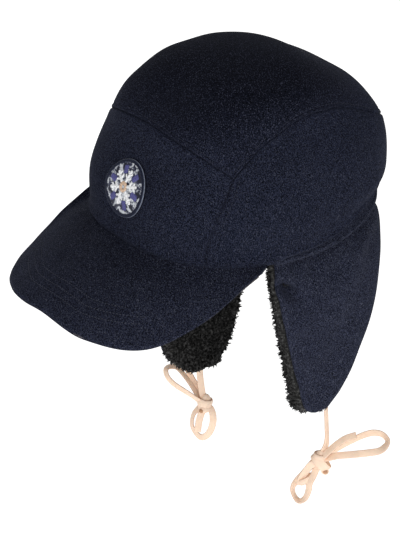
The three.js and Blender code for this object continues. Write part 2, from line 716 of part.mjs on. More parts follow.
function tieGroup(name, tie) {
  const group = new THREE.Group();
  group.position.set(tie.middle.x, tie.middle.y, tie.middle.z);
  group.rotation.z = toRadians(TIE_HEADING);
  group.add(named(`tie_${name}_knot`, knotGeometry(tie.knot), COLOURS.leather, 0.7));
  for (const [kind, piece] of Object.entries(tie.pieces)) {
    group.add(named(`tie_${name}_${kind}`, laceGeometry(piece, tie.knot), COLOURS.leather, 0.7));
  }
  return group;
}

const cap = new THREE.Group();
cap.add(named('crown_front_panel', frontPanel(), COLOURS.wool, 0.95));
cap.add(named('crown_top_panel', topPanel(), COLOURS.woolDark, 0.95));
cap.add(named('crown_side_panel_left', sidePanel(1), COLOURS.wool, 0.95));
cap.add(named('crown_side_panel_right', sidePanel(-1), COLOURS.wool, 0.95));
cap.add(named('peak', peakGeometry(), COLOURS.wool, 0.95));
cap.add(named('rim_band', rimBand(), COLOURS.woolDark, 0.95));
for (const [name, hang] of Object.entries(FLAP_HANG)) {
  cap.add(named(`earflap_shell_${name}`, flapShell(hang), COLOURS.wool, 0.95));
  cap.add(named(`earflap_lining_${name}`, flapLining(hang), COLOURS.pile, 1.0));
}
cap.add(named('badge_face', badgeFace(), COLOURS.badgeFace, 0.7));
cap.add(named('badge_rim', badgeRim(), COLOURS.badgeRim, 0.6));
for (const [name, tie] of Object.entries(TIES)) cap.add(tieGroup(name, tie));

export default cap;
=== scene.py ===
"""Looks of a wool earflap cap: cloth panels, curved peak, pile lined flaps, round badge and lace ties.

Sizes are in millimetres in the tables and dataclasses, and every mesh is written in metres.
The peak points along -Y, the wearer's left is +X, and the origin is the middle of the head opening.
"""

import logging
import math
from dataclasses import dataclass, field
from enum import Enum
from typing import Callable, Optional, Protocol, Sequence

import bmesh
import bpy
import numpy as np
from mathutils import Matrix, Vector


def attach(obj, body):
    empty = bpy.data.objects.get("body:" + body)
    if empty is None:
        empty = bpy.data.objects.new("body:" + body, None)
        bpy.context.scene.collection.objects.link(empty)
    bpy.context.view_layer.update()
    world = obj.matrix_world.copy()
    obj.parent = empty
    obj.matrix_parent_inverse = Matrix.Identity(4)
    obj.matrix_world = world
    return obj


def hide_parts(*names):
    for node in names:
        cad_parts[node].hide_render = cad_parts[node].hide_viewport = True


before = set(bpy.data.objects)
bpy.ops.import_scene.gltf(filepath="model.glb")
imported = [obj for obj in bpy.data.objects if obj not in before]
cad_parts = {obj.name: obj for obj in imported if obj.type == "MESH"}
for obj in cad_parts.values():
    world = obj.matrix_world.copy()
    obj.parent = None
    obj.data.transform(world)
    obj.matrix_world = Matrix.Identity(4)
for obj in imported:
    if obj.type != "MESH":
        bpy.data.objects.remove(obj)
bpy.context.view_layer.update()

LOG = logging.getLogger("earflap_cap")
MM = 0.001
# Smallest size that is told from none
TINY = 1e-6
Array = np.ndarray
Placer = Callable[[Array, Array], Array]


@dataclass(frozen=True)
class CrownRow:
    """Section of the crown at one level, from the lower edge (0) to the top (1)."""

    level: float
    half_width: float
    front: float
    back: float
    z_front: float
    z_side: float
    z_back: float
    square: float


CROWN_ROWS = (
    CrownRow(0.00, 88.0, 102.0, 102.0, 7, 0, 17, 2.45),
    CrownRow(0.25, 89.5, 100.5, 109.0, 42, 30, 32, 2.5),
    CrownRow(0.50, 84.5, 85.5, 106.0, 69, 60, 62, 2.5),
    CrownRow(0.70, 72.5, 77.0, 89.0, 90, 84, 86, 2.4),
    CrownRow(0.85, 58.0, 56.5, 63.0, 102, 108, 103, 2.4),
    CrownRow(0.93, 34.0, 33.0, 37.0, 117, 119, 117.5, 2.2),
    CrownRow(1.00, 0.0, 0.0, 0.0, 123.5, 123.5, 123.5, 2.0),
)

# Angle from the front and level of the seam round the top panel, as far as its corner and past it
TOP_SEAM_FRONT = ((0, 0.690), (12, 0.683), (25, 0.655), (36, 0.615), (45.5, 0.562), (51.5, 0.520))
TOP_SEAM_REST = (
    (51.5, 0.520), (58, 0.610), (67, 0.690), (78, 0.732), (93, 0.761), (108, 0.763), (124, 0.738),
    (137, 0.664), (147, 0.565), (160, 0.470), (180, 0.430),
)
# Level and angle of the seam between the front panel and each side panel
FRONT_SEAM = ((0.00, 40.0), (0.13, 42.0), (0.29, 45.5), (0.42, 49.0), (0.52, 51.5))
CORNER_ANGLE = 51.5
CORNER_LEVEL = 0.52
# Share of the peak's half width against its outer edge: across, forward and height
PEAK_EDGE = (
    (0.00, 0, 168.0, -27.0), (0.30, 46, 163.0, -31.5), (0.60, 79, 138.0, -34.5),
    (0.85, 91.5, 93.0, -21.5), (1.00, 88, 44.5, -1.8),
)
# Mean length of one degree round the rim
MM_PER_DEGREE = 1.55
# Length of a flap that is tucked up under the rim, and the depth at which it has lost the rim's slope
FLAP_TUCK = 12
FLAP_LEVEL_DEPTH = 30
# Depth under the rim, angles of the front and back ends of a flap, and how far its face stands out at each
FLAP_ROWS = (
    (-FLAP_TUCK, 71, 150, -5.8, -5.8), (6, 71.2, 149, -5.8, -5.0), (11, 71.4, 147.5, -4, -0.5),
    (20, 72, 143.5, -2, 2.5), (45, 74.7, 135.5, -1, 4.8), (70, 78.2, 128.6, -1, 5.4),
    (95, 82.6, 121, -2, 3), (112, 86.2, 116, -3, 1), (124, 88.5, 111, -3, -1),
    (131, 90.5, 107, -4, -3), (135, 94, 104, -5, -4), (136.5, 97, 101, -5, -5),
)


def column_at(
    keys: Sequence[float],
    values: Sequence[float],
    place: Array,
    start_slope: Optional[float] = None,
    end_slope: Optional[float] = None,
) -> Array:
    """Smooth values of one column of a table.

    Args:
        keys: the places of the rows, rising.
        values: the column's value in each row.
        place: where the values are wanted.
        start_slope: slope at the first row, or None for that of the first stretch.
        end_slope: slope at the last row, or None for that of the last stretch.

    Returns:
        The value at each place.
    """
    keys, values = np.asarray(keys, float), np.asarray(values, float)
    secants = np.diff(values) / np.diff(keys)
    inner = (values[2:] - values[:-2]) / (keys[2:] - keys[:-2])
    first = secants[0] if start_slope is None else start_slope
    final = secants[-1] if end_slope is None else end_slope
    slopes = np.concatenate([[first], inner, [final]])
    low = np.clip(np.searchsorted(keys, place, side="right") - 1, 0, len(keys) - 2)
    span = keys[low + 1] - keys[low]
    t = (place - keys[low]) / span
    t2, t3 = t * t, t * t * t
    return (
        (2 * t3 - 3 * t2 + 1) * values[low]
        + (t3 - 2 * t2 + t) * span * slopes[low]
        + (3 * t2 - 2 * t3) * values[low + 1]
        + (t3 - t2) * span * slopes[low + 1]
    )


def bell(distance: Array, width: float) -> Array:
    """A smooth hump of height 1 at distance 0."""
    return np.exp(-((distance / width) ** 2))


@dataclass(frozen=True)
class Hump:
    """A smooth rise of one height, at one place and of one width."""

    high: float
    at: float
    wide: float

    def height(self, place: Array) -> Array:
        """Height of the rise at each place."""
        return self.high * bell(place - self.at, self.wide)


def undulation(points: Array, wavelength: float, seed: int) -> Array:
    """Gentle uneven rise of a handled cloth.

    Args:
        points: places in millimetres, one row each.
        wavelength: about the distance between two rises.
        seed: which of the many uneven surfaces.

    Returns:
        A value from about -1 to 1 for each point.
    """
    rng = np.random.default_rng(seed)
    waves = 7
    total = np.zeros(len(points))
    for _ in range(waves):
        heading = rng.normal(size=3)
        heading /= np.linalg.norm(heading)
        length = wavelength * rng.uniform(0.7, 1.5)
        total += np.sin(points @ heading * (2 * math.pi / length) + rng.uniform(0, 2 * math.pi))
    return total / math.sqrt(waves)


def packed(share: Array, pack: float = 0.8) -> Array:
    """Shares from 0 to 1 with their steps closer together near both ends."""
    return share - pack * np.sin(2 * math.pi * share) / (2 * math.pi)


class CrownForm:
    """The outside of the crown, and its seams, as functions of angle and level."""

    def point(self, angle: Array, level: Array) -> Array:
        """Point on the outside of the crown.

        Args:
            angle: degrees from the front, positive towards the wearer's left.
            level: 0 at the lower edge to 1 at the top.

        Returns:
            One row of x, y, z for each place, in millimetres.
        """
        angle, level = np.broadcast_arrays(np.asarray(angle, float), np.asarray(level, float))
        keys = [row.level for row in CROWN_ROWS]

        def column(name: str, end_slope: Optional[float] = None) -> Array:
            """One column of the crown's table at these levels."""
            return column_at(keys, [getattr(row, name) for row in CROWN_ROWS], level, None, end_slope)

        across, along = np.sin(np.radians(angle)), np.cos(np.radians(angle))
        reach = np.maximum(np.where(along > 0, column("front"), column("back")), TINY)
        half_width = np.maximum(column("half_width"), TINY)
        square = column("square")
        total = (np.abs(across) / half_width) ** square + (np.abs(along) / reach) ** square
        radius = np.where(level >= 1, 0.0, total ** (-1 / square))
        z_end = np.where(along > 0, column("z_front", 0), column("z_back", 0))
        z_side = column("z_side", 0)
        return np.stack(
            [radius * across, -radius * along, z_side + (z_end - z_side) * along * along], axis=-1
        )

    def normal(self, angle: Array, level: Array) -> Array:
        """Outward direction of the crown.

        Args:
            angle: degrees from the front, positive towards the wearer's left.
            level: 0 at the lower edge to 1 at the top.

        Returns:
            One direction of length 1 for each place.
        """
        angle, level = np.broadcast_arrays(np.asarray(angle, float), np.asarray(level, float))
        step, half_turn, last_ring = 0.004, 0.5, 0.99
        high = np.minimum(level + step, 1 - step)
        low = np.maximum(np.minimum(level - step, 1 - 3 * step), 0)
        ring = np.minimum(level, last_ring)
        up = self.point(angle, high) - self.point(angle, low)
        turn = self.point(angle + half_turn, ring) - self.point(angle - half_turn, ring)
        cross = np.cross(turn, up)
        return cross / np.linalg.norm(cross, axis=-1, keepdims=True)

    def raised(self, angle: Array, level: Array, height: Array) -> Array:
        """Point at a height over the outside of the crown, by angle and level."""
        height = np.asarray(height, float)
        return self.point(angle, level) + self.normal(angle, level) * height[..., None]

    def top_seam_level(self, angle: Array) -> Array:
        """Level of the seam round the top panel.

        Args:
            angle: degrees from the front.

        Returns:
            The level at each angle.
        """
        turned = np.abs((np.asarray(angle, float) + 180) % 360 - 180)
        front = column_at(*zip(*TOP_SEAM_FRONT), np.minimum(turned, CORNER_ANGLE), 0.0)
        rest = column_at(*zip(*TOP_SEAM_REST), np.maximum(turned, CORNER_ANGLE), None, 0.0)
        return np.where(turned <= CORNER_ANGLE, front, rest)

    def front_seam_angle(self, level: Array) -> Array:
        """Angle of the seam between front and side panel.

        Args:
            level: 0 at the lower edge to 1 at the top.

        Returns:
            The angle from the front at each level, in degrees.
        """
        level = np.asarray(level, float)
        curve = column_at(*zip(*FRONT_SEAM), np.minimum(level, CORNER_LEVEL))
        return np.where(level >= CORNER_LEVEL, CORNER_ANGLE, curve)

    def rim(self, angle: Array, inset: Array, height: Array) -> Array:
        """Point level with the crown's lower edge.

        Args:
            angle: degrees from the front.
            inset: how far it is moved in.
            height: how far it is moved up.

        Returns:
            One row of x, y, z for each place, in millimetres.
        """
        point = self.point(angle, np.zeros_like(np.asarray(angle, float)))
        radius = np.hypot(point[..., 0], point[..., 1])
        share = (radius - inset) / radius
        return np.stack([point[..., 0] * share, point[..., 1] * share, point[..., 2] + height], axis=-1)


CROWN = CrownForm()


def object_from(bm: bmesh.types.BMesh, name: str) -> bpy.types.Object:
    """Turns a finished bmesh into a smooth-shaded object at the origin.

    Args:
        bm: the finished mesh, which is freed.
        name: the object's name.

    Returns:
        The new object.
    """
    mesh = bpy.data.meshes.new(name)
    bm.to_mesh(mesh)
    bm.free()
    mesh.shade_smooth()
    made = bpy.data.objects.new(name, mesh)
    bpy.context.scene.collection.objects.link(made)
    return made


def placed_grid(
    name: str,
    columns: int,
    rows: int,
    place: Placer,
    wraps: bool = False,
    lay: Optional[tuple[float, float]] = None,
) -> bpy.types.Object:
    """Lays a flat grid on a surface.

    Args:
        name: the object's name.
        columns: faces along the first share.
        rows: faces along the second share.
        place: gives a point in millimetres for each pair of shares from 0 to 1.
        wraps: whether edges that meet are joined and open ends filled, for tubes and discs.
        lay: size in millimetres of a UV map over the grid, or None for no map.

    Returns:
        The new object.
    """
    bm = bmesh.new()
    uv = bm.loops.layers.uv.new("lay") if lay else None
    bmesh.ops.create_grid(bm, x_segments=columns, y_segments=rows, size=0.5)
    flat = np.array([vert.co[:2] for vert in bm.verts]) + 0.5
    if uv is not None:
        for face in bm.faces:
            for loop in face.loops:
                loop[uv].uv = ((loop.vert.co.x + 0.5) * lay[0], (loop.vert.co.y + 0.5) * lay[1])
    points = place(np.clip(flat[:, 0], 0, 1), np.clip(flat[:, 1], 0, 1)) * MM
    for vert, point in zip(bm.verts, points):
        vert.co = point
    if wraps:
        bmesh.ops.remove_doubles(bm, verts=bm.verts, dist=TINY)
        bmesh.ops.dissolve_degenerate(bm, edges=bm.edges, dist=TINY)
        bmesh.ops.holes_fill(bm, edges=[edge for edge in bm.edges if edge.is_boundary], sides=0)
        bmesh.ops.recalc_face_normals(bm, faces=bm.faces)
    return object_from(bm, name)


def outward(piece: bpy.types.Object, middle: Sequence[float]) -> bpy.types.Object:
    """Turns a sheet's faces away from a middle point.

    Args:
        piece: the sheet.
        middle: the point in millimetres.

    Returns:
        The same object.
    """
    bm = bmesh.new()
    bm.from_mesh(piece.data)
    centre = Vector(middle) * MM
    facing = sum(
        (face.calc_center_median() - centre).dot(face.normal) * face.calc_area() for face in bm.faces
    )
    if facing < 0:
        bmesh.ops.reverse_faces(bm, faces=bm.faces)
    bm.to_mesh(piece.data)
    bm.free()
    return piece


def thicken(piece: bpy.types.Object, thickness: float, smooth: int = 0) -> bpy.types.Object:
    """Gives a sheet its wall, inwards, and rounds it.

    Args:
        piece: the sheet, with its faces pointing out.
        thickness: the wall in millimetres.
        smooth: levels of subdivision.

    Returns:
        The same object.
    """
    wall = piece.modifiers.new("wall", "SOLIDIFY")
    wall.thickness = thickness * MM
    wall.offset = -1
    if smooth:
        round_off = piece.modifiers.new("round", "SUBSURF")
        round_off.levels = smooth
        round_off.render_levels = smooth
    return piece


def joined_copies(name: str, pattern: bpy.types.Object, frames: Array) -> bpy.types.Object:
    """Makes one mesh of many turned and scaled copies of a small pattern, which is then deleted.

    Args:
        name: the new object's name.
        pattern: the small object to copy, in metres.
        frames: one 3 x 4 matrix for each copy, in metres.

    Returns:
        The joined object.
    """
    base = np.array([vert.co[:] for vert in pattern.data.vertices])
    places = np.einsum("nij,vj->nvi", frames[:, :, :3], base) + frames[:, None, :, 3]
    bm = bmesh.new()
    for _ in frames:
        bm.from_mesh(pattern.data)
    for vert, point in zip(bm.verts, places.reshape(-1, 3)):
        vert.co = point
    bpy.data.objects.remove(pattern)
    return object_from(bm, name)


def settle(piece: bpy.types.Object, slot: str, finish: bpy.types.Material, *nodes: str) -> bpy.types.Object:
    """Dresses a piece and ties it to the frame.

    Args:
        piece: the finished object.
        slot: the record's material slot.
        finish: the piece's material.
        *nodes: the CAD nodes that it stands for.

    Returns:
        The same object.
    """
    piece.data.materials.clear()
    piece.data.materials.append(finish)
    if nodes:
        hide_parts(*nodes)
    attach(piece, "root")
    LOG.info("%s: %d faces, slot %s", piece.name, len(piece.data.polygons), slot)
    return piece


class Shader:
    """A material's node tree with short calls for the nodes that cloth, leather and thread need."""

    def __init__(self, name: str) -> None:
        """Starts a material with its surface shader.

        Args:
            name: the material's name.
        """
        self.material = bpy.data.materials.new(name)
        self.material.use_nodes = True
        self.tree = self.material.node_tree
        self.surface = self.tree.nodes["Principled BSDF"]
        self.coordinates = self.tree.nodes.new("ShaderNodeTexCoord")

    def node(self, kind: str, **settings: object) -> bpy.types.Node:
        """Adds a node.

        Args:
            kind: the node's type.
            **settings: values of its inputs, named in small letters, or of its properties.

        Returns:
            The new node.
        """
        made = self.tree.nodes.new(kind)
        for key, value in settings.items():
            title = key.replace("_", " ").title()
            if title in made.inputs:
                made.inputs[title].default_value = value
            else:
                setattr(made, key, value)
        return made

    def link(self, source: bpy.types.NodeSocket, target: bpy.types.NodeSocket) -> None:
        """Joins two sockets."""
        self.tree.links.new(source, target)

    def noise(
        self, scale: float, detail: float = 2, stretch: Optional[Sequence[float]] = None
    ) -> bpy.types.NodeSocket:
        """Noise on the piece's own coordinates.

        Args:
            scale: waves per metre.
            detail: octaves of finer noise.
            stretch: scale of each axis, or None.

        Returns:
            The noise value's socket.
        """
        made = self.node("ShaderNodeTexNoise", scale=scale, detail=detail, roughness=0.6)
        source = self.coordinates.outputs["Object"]
        if stretch:
            mapping = self.node("ShaderNodeMapping")
            mapping.inputs["Scale"].default_value = stretch
            self.link(source, mapping.inputs["Vector"])
            source = mapping.outputs["Vector"]
        self.link(source, made.inputs["Vector"])
        return made.outputs["Fac"]

    def height_share(self, low: float, high: float) -> bpy.types.NodeSocket:
        """Value that rises from 0 to 1 between two heights.

        Args:
            low: the height of 0, in millimetres.
            high: the height of 1, in millimetres.

        Returns:
            The value's socket.
        """
        split = self.node("ShaderNodeSeparateXYZ")
        self.link(self.coordinates.outputs["Object"], split.inputs["Vector"])
        reach = self.node("ShaderNodeMapRange", from_min=low * MM, from_max=high * MM)
        self.link(split.outputs["Z"], reach.inputs["Value"])
        return reach.outputs["Result"]

    def ramp(self, value: bpy.types.NodeSocket, stops: Sequence[tuple]) -> bpy.types.NodeSocket:
        """Colour ramp.

        Args:
            value: the socket that is looked up.
            stops: (place, (red, green, blue)) pairs.

        Returns:
            The colour's socket.
        """
        made = self.node("ShaderNodeValToRGB")
        elements = made.color_ramp.elements
        while len(elements) < len(stops):
            elements.new(0.5)
        for element, (place, colour) in zip(elements, stops):
            element.position = place
            element.color = (*colour, 1)
        self.link(value, made.inputs["Fac"])
        return made.outputs["Color"]

    def mix(
        self, share: object, first: object, second: object, blend: str = "MIX"
    ) -> bpy.types.NodeSocket:
        """Mix of two colours.

        Args:
            share: share of the second colour, as a value or a socket.
            first: the first colour, as a value or a socket.
            second: the second colour, as a value or a socket.
            blend: how they are mixed.

        Returns:
            The mixed colour's socket.
        """
        made = self.node("ShaderNodeMix", data_type="RGBA", blend_type=blend)
        for value, target in ((share, made.inputs[0]), (first, made.inputs[6]), (second, made.inputs[7])):
            if isinstance(value, bpy.types.NodeSocket):
                self.link(value, target)
            else:
                target.default_value = value if isinstance(value, float) else (*value, 1)
        return made.outputs[2]

    def bump(self, *layers: tuple) -> None:
        """Bump of several layers on the surface shader.

        Args:
            *layers: (height socket, strength, distance in millimetres) for each.
        """
        last = None
        for height, strength, distance in layers:
            made = self.node("ShaderNodeBump", strength=strength, distance=distance * MM)
            self.link(height, made.inputs["Height"])
            if last is not None:
                self.link(last, made.inputs["Normal"])
            last = made.outputs["Normal"]
        self.link(last, self.surface.inputs["Normal"])

    def set(self, **values: object) -> None:
        """Sets constants on the surface shader's own sockets."""
        for key, value in values.items():
            self.surface.inputs[key.replace("_", " ")].default_value = value


def shade(colour: Sequence[float], factor: float) -> tuple:
    """A colour made lighter or darker."""
    return tuple(channel * factor for channel in colour)


@dataclass(frozen=True)
class WoolFinish:
    """Brushed wool cloth: a dark ground with paler fibres and a short fuzz."""

    colour: tuple = (0.0170, 0.0195, 0.0335)
    fibre: tuple = (0.060, 0.066, 0.095)
    sheen: float = 0.03
    # Painted shade: share of the colour left at the upper height, and the heights between which it darkens
    # upwards
    top_share: float = 1.0
    darkens_between: tuple = (80.0, 112.0)

    def material(self, name: str) -> bpy.types.Material:
        """Builds the cloth's material, with painted shade that darkens it upwards to top_share between two
        heights.

        Args:
            name: the material's name.

        Returns:
            The material.
        """
        shader = Shader(name)
        fine = shader.noise(1600, 2)
        patches = shader.noise(55, 2)
        lint = shader.noise(1500, 1, (1.0, 0.8, 0.55))
        deep, even, pale = (shade(self.colour, factor) for factor in (0.12, 0.9, 2.6))
        ground = shader.ramp(fine, [(0.41, deep), (0.5, even), (0.59, pale)])
        tone = shader.ramp(patches, [(0.3, (0.82, 0.82, 0.84)), (0.7, (1.0, 1.0, 1.0))])
        ground = shader.mix(1.0, ground, tone, "MULTIPLY")
        # Painted shade: the colour darkens upwards, where less light falls on the cloth
        if self.top_share < 1:
            height = shader.height_share(*self.darkens_between)
            painted_shade = shader.ramp(height, [(0, (1, 1, 1)), (1, shade((1, 1, 1), self.top_share))])
            ground = shader.mix(1.0, ground, painted_shade, "MULTIPLY")
        hair = shader.ramp(lint, [(0.60, (0, 0, 0)), (0.68, (1, 1, 1))])
        ground = shader.mix(hair, ground, self.fibre)
        shader.link(ground, shader.surface.inputs["Base Color"])
        shader.set(
            Roughness=0.95, Specular_IOR_Level=0.03, Sheen_Weight=self.sheen, Sheen_Roughness=0.45,
            Sheen_Tint=(0.62, 0.68, 0.95, 1),
        )
        shader.bump((patches, 0.25, 1.2), (shader.noise(520, 2), 0.25, 0.4), (fine, 0.9, 0.4))
        return shader.material


@dataclass(frozen=True)
class PileFinish:
    """Curly black pile, seen on its backing and on its tufts."""

    colour: tuple = (0.0203, 0.0202, 0.0200)

    def material(self, name: str) -> bpy.types.Material:
        """Builds the pile's material.

        Args:
            name: the material's name.

        Returns:
            The material.
        """
        shader = Shader(name)
        tufts = shader.noise(520, 2)
        base = shader.ramp(
            tufts, [(0.38, shade(self.colour, 0.15)), (0.52, self.colour), (0.68, shade(self.colour, 3.6))]
        )
        shader.link(base, shader.surface.inputs["Base Color"])
        shader.set(
            Roughness=0.7, Specular_IOR_Level=0.12, Sheen_Weight=0.03, Sheen_Roughness=0.4,
            Sheen_Tint=(0.8, 0.8, 0.82, 1),
        )
        shader.bump((shader.noise(1600, 2), 0.6, 0.3))
        return shader.material


@dataclass(frozen=True)
class LeatherFinish:
    """Natural leather: smooth grain side, darker cut edges, faint pores and creases."""

    colour: tuple = (0.91, 0.675, 0.515)
    edge: tuple = (0.42, 0.20, 0.10)

    def material(self, name: str) -> bpy.types.Material:
        """Builds the leather's material; its second UV coordinate runs round the lace.

        Args:
            name: the material's name.

        Returns:
            The material.
        """
        shader = Shader(name)
        clouds = shader.noise(160, 3)
        pores = shader.noise(1900, 2)
        skin = shader.ramp(
            clouds, [(0.3, shade(self.colour, 0.90)), (0.55, self.colour), (0.8, shade(self.colour, 1.06))]
        )
        split = shader.node("ShaderNodeSeparateXYZ")
        shader.link(shader.coordinates.outputs["UV"], split.inputs[0])
        turn = shader.node("ShaderNodeMath", operation="MULTIPLY")
        turn.inputs[1].default_value = 4 * math.pi
        shader.link(split.outputs[1], turn.inputs[0])
        wave = shader.node("ShaderNodeMath", operation="COSINE")
        shader.link(turn.outputs[0], wave.inputs[0])
        side = shader.ramp(wave.outputs[0], [(0.86, (0, 0, 0)), (0.96, (0.9, 0.9, 0.9))])
        skin = shader.mix(side, skin, self.edge)
        shader.link(skin, shader.surface.inputs["Base Color"])
        shader.set(Roughness=0.52, Specular_IOR_Level=0.35, Subsurface_Weight=0.05)
        shader.bump((clouds, 0.2, 0.3), (pores, 0.35, 0.12))
        return shader.material


@dataclass(frozen=True)
class ThreadFinish:
    """Twisted thread of one colour, with its fine slanting strands."""

    colour: tuple = (0.026, 0.029, 0.047)
    gloss: float = 0.7

    def material(self, name: str) -> bpy.types.Material:
        """Builds the thread's material.

        Args:
            name: the material's name.

        Returns:
            The material.
        """
        shader = Shader(name)
        strands = shader.noise(1500, 1, (1.0, 0.4, 1.0))
        base = shader.ramp(
            strands, [(0.3, shade(self.colour, 0.6)), (0.55, self.colour), (0.8, shade(self.colour, 1.25))]
        )
        shader.link(base, shader.surface.inputs["Base Color"])
        shader.set(Roughness=self.gloss, Specular_IOR_Level=0.12)
        shader.bump((strands, 0.5, 0.15))
        return shader.material


@dataclass(frozen=True)
class BadgeGroundFinish:
    """Mottled embroidered ground of the badge in greys, off-white and lilac blue."""

    def material(self, name: str) -> bpy.types.Material:
        """Builds the embroidered ground's material.

        Args:
            name: the material's name.

        Returns:
            The material.
        """
        shader = Shader(name)
        blocks = shader.noise(290, 3)
        stitches = shader.noise(1300, 1, (0.4, 1.0, 1.6))
        base = shader.ramp(
            blocks,
            [
                (0.44, (0.008, 0.010, 0.026)), (0.49, (0.035, 0.040, 0.10)), (0.53, (0.24, 0.26, 0.30)),
                (0.58, (0.70, 0.73, 0.78)),
            ],
        )
        shine = shader.ramp(stitches, [(0.3, (0.62, 0.62, 0.62)), (0.7, (1.0, 1.0, 1.0))])
        base = shader.mix(1.0, base, shine, "MULTIPLY")
        shader.link(base, shader.surface.inputs["Base Color"])
        shader.set(Roughness=0.6, Specular_IOR_Level=0.4)
        shader.bump((stitches, 0.6, 0.2))
        return shader.material


class Finish(Protocol):
    """Any finish that builds a material."""

    def material(self, name: str) -> bpy.types.Material:
        """Builds the material."""


def made_from(finish: Finish, name: str) -> bpy.types.Material:
    """Field of a dataclass that holds a finish's material, made with the dataclass."""
    return field(default_factory=lambda: finish.material(name))


@dataclass
class Finishes:
    """All materials of the cap, made once."""

    # One wool cloth in copies of different tone, as painted light and shade: the crown's copy is darker
    # than those of the flaps, band and peak
    wool: bpy.types.Material = made_from(
        WoolFinish((0.0098, 0.0117, 0.0216), (0.043, 0.047, 0.071)), "wool_cloth"
    )
    # Painted shade: the flap darkens upwards, under the crown's rim
    wool_flap: bpy.types.Material = made_from(
        WoolFinish((0.0152, 0.0174, 0.0302), top_share=0.68, darkens_between=(-40.0, -4.0)), "wool_flap"
    )
    # Painted shade: the top panel is darker and darkens further upwards, where less light falls
    wool_top: bpy.types.Material = made_from(
        WoolFinish((0.0094, 0.0111, 0.0205), (0.048, 0.052, 0.080), top_share=0.42), "wool_cloth_top"
    )
    # Painted shadow: the peak darkens towards the crown
    wool_peak: bpy.types.Material = made_from(
        WoolFinish(
            (0.0130, 0.0151, 0.0270), (0.064, 0.070, 0.100), top_share=0.66, darkens_between=(-26.0, 2.0)
        ),
        "wool_peak",
    )
    wool_band: bpy.types.Material = made_from(WoolFinish((0.0150, 0.0172, 0.0290)), "wool_band")
    pile: bpy.types.Material = made_from(PileFinish(), "pile")
    leather: bpy.types.Material = made_from(LeatherFinish(), "leather_lace")
    edge: bpy.types.Material = made_from(
        WoolFinish((0.060, 0.056, 0.058), (0.10, 0.10, 0.11)), "wool_folded_edge"
    )
    tonal: bpy.types.Material = made_from(ThreadFinish(), "tonal_thread")
    peak_thread: bpy.types.Material = made_from(ThreadFinish((0.060, 0.064, 0.088)), "peak_thread")
    white: bpy.types.Material = made_from(ThreadFinish((0.90, 0.91, 0.93)), "white_thread")
    silver: bpy.types.Material = made_from(ThreadFinish((0.19, 0.215, 0.28), 0.4), "silver_grey_thread")
    navy: bpy.types.Material = made_from(ThreadFinish((0.014, 0.018, 0.038), 0.5), "navy_thread")
    peach: bpy.types.Material = made_from(ThreadFinish((0.72, 0.52, 0.38)), "peach_thread")
    lilac: bpy.types.Material = made_from(ThreadFinish((0.10, 0.10, 0.27)), "lilac_thread")
    badge_ground: bpy.types.Material = made_from(BadgeGroundFinish(), "badge_embroidery")


@dataclass
class Stitching:
    """Rows of single stitches: length, width and pitch in millimetres."""

    length: float = 2.3
    width: float = 0.55
    pitch: float = 3.1
    stand: float = 0.05
    look_ahead: float = 0.5

    def row(self, name: str, route: Array, normals: Array) -> bpy.types.Object:
        """Sews one row along a route.

        Args:
            name: the object's name.
            route: points that the row follows, in millimetres.
            normals: the cloth's outward direction at each of them.

        Returns:
            The stitches as one object.
        """
        bm = bmesh.new()
        bmesh.ops.create_uvsphere(bm, u_segments=6, v_segments=4, radius=0.5)
        pattern = object_from(bm, name + "_pattern")
        steps = np.linalg.norm(np.diff(route, axis=0), axis=1)
        run = np.concatenate([[0], np.cumsum(steps)])
        count = max(int(run[-1] / self.pitch), 1)
        at = (np.arange(count) + 0.5) * run[-1] / count
        centre = np.stack([np.interp(at, run, route[:, k]) for k in range(3)], axis=1)
        ahead = np.stack([np.interp(at + self.look_ahead, run, route[:, k]) for k in range(3)], axis=1)
        up = np.stack([np.interp(at, run, normals[:, k]) for k in range(3)], axis=1)
        up /= np.linalg.norm(up, axis=1, keepdims=True)
        tangent = ahead - centre
        tangent /= np.maximum(np.linalg.norm(tangent, axis=1, keepdims=True), TINY)
        side = np.cross(up, tangent)
        frames = np.stack(
            [side * self.width, up * self.width, tangent * self.length, centre + up * self.stand], axis=2
        ) * MM
        return joined_copies(name, pattern, frames)


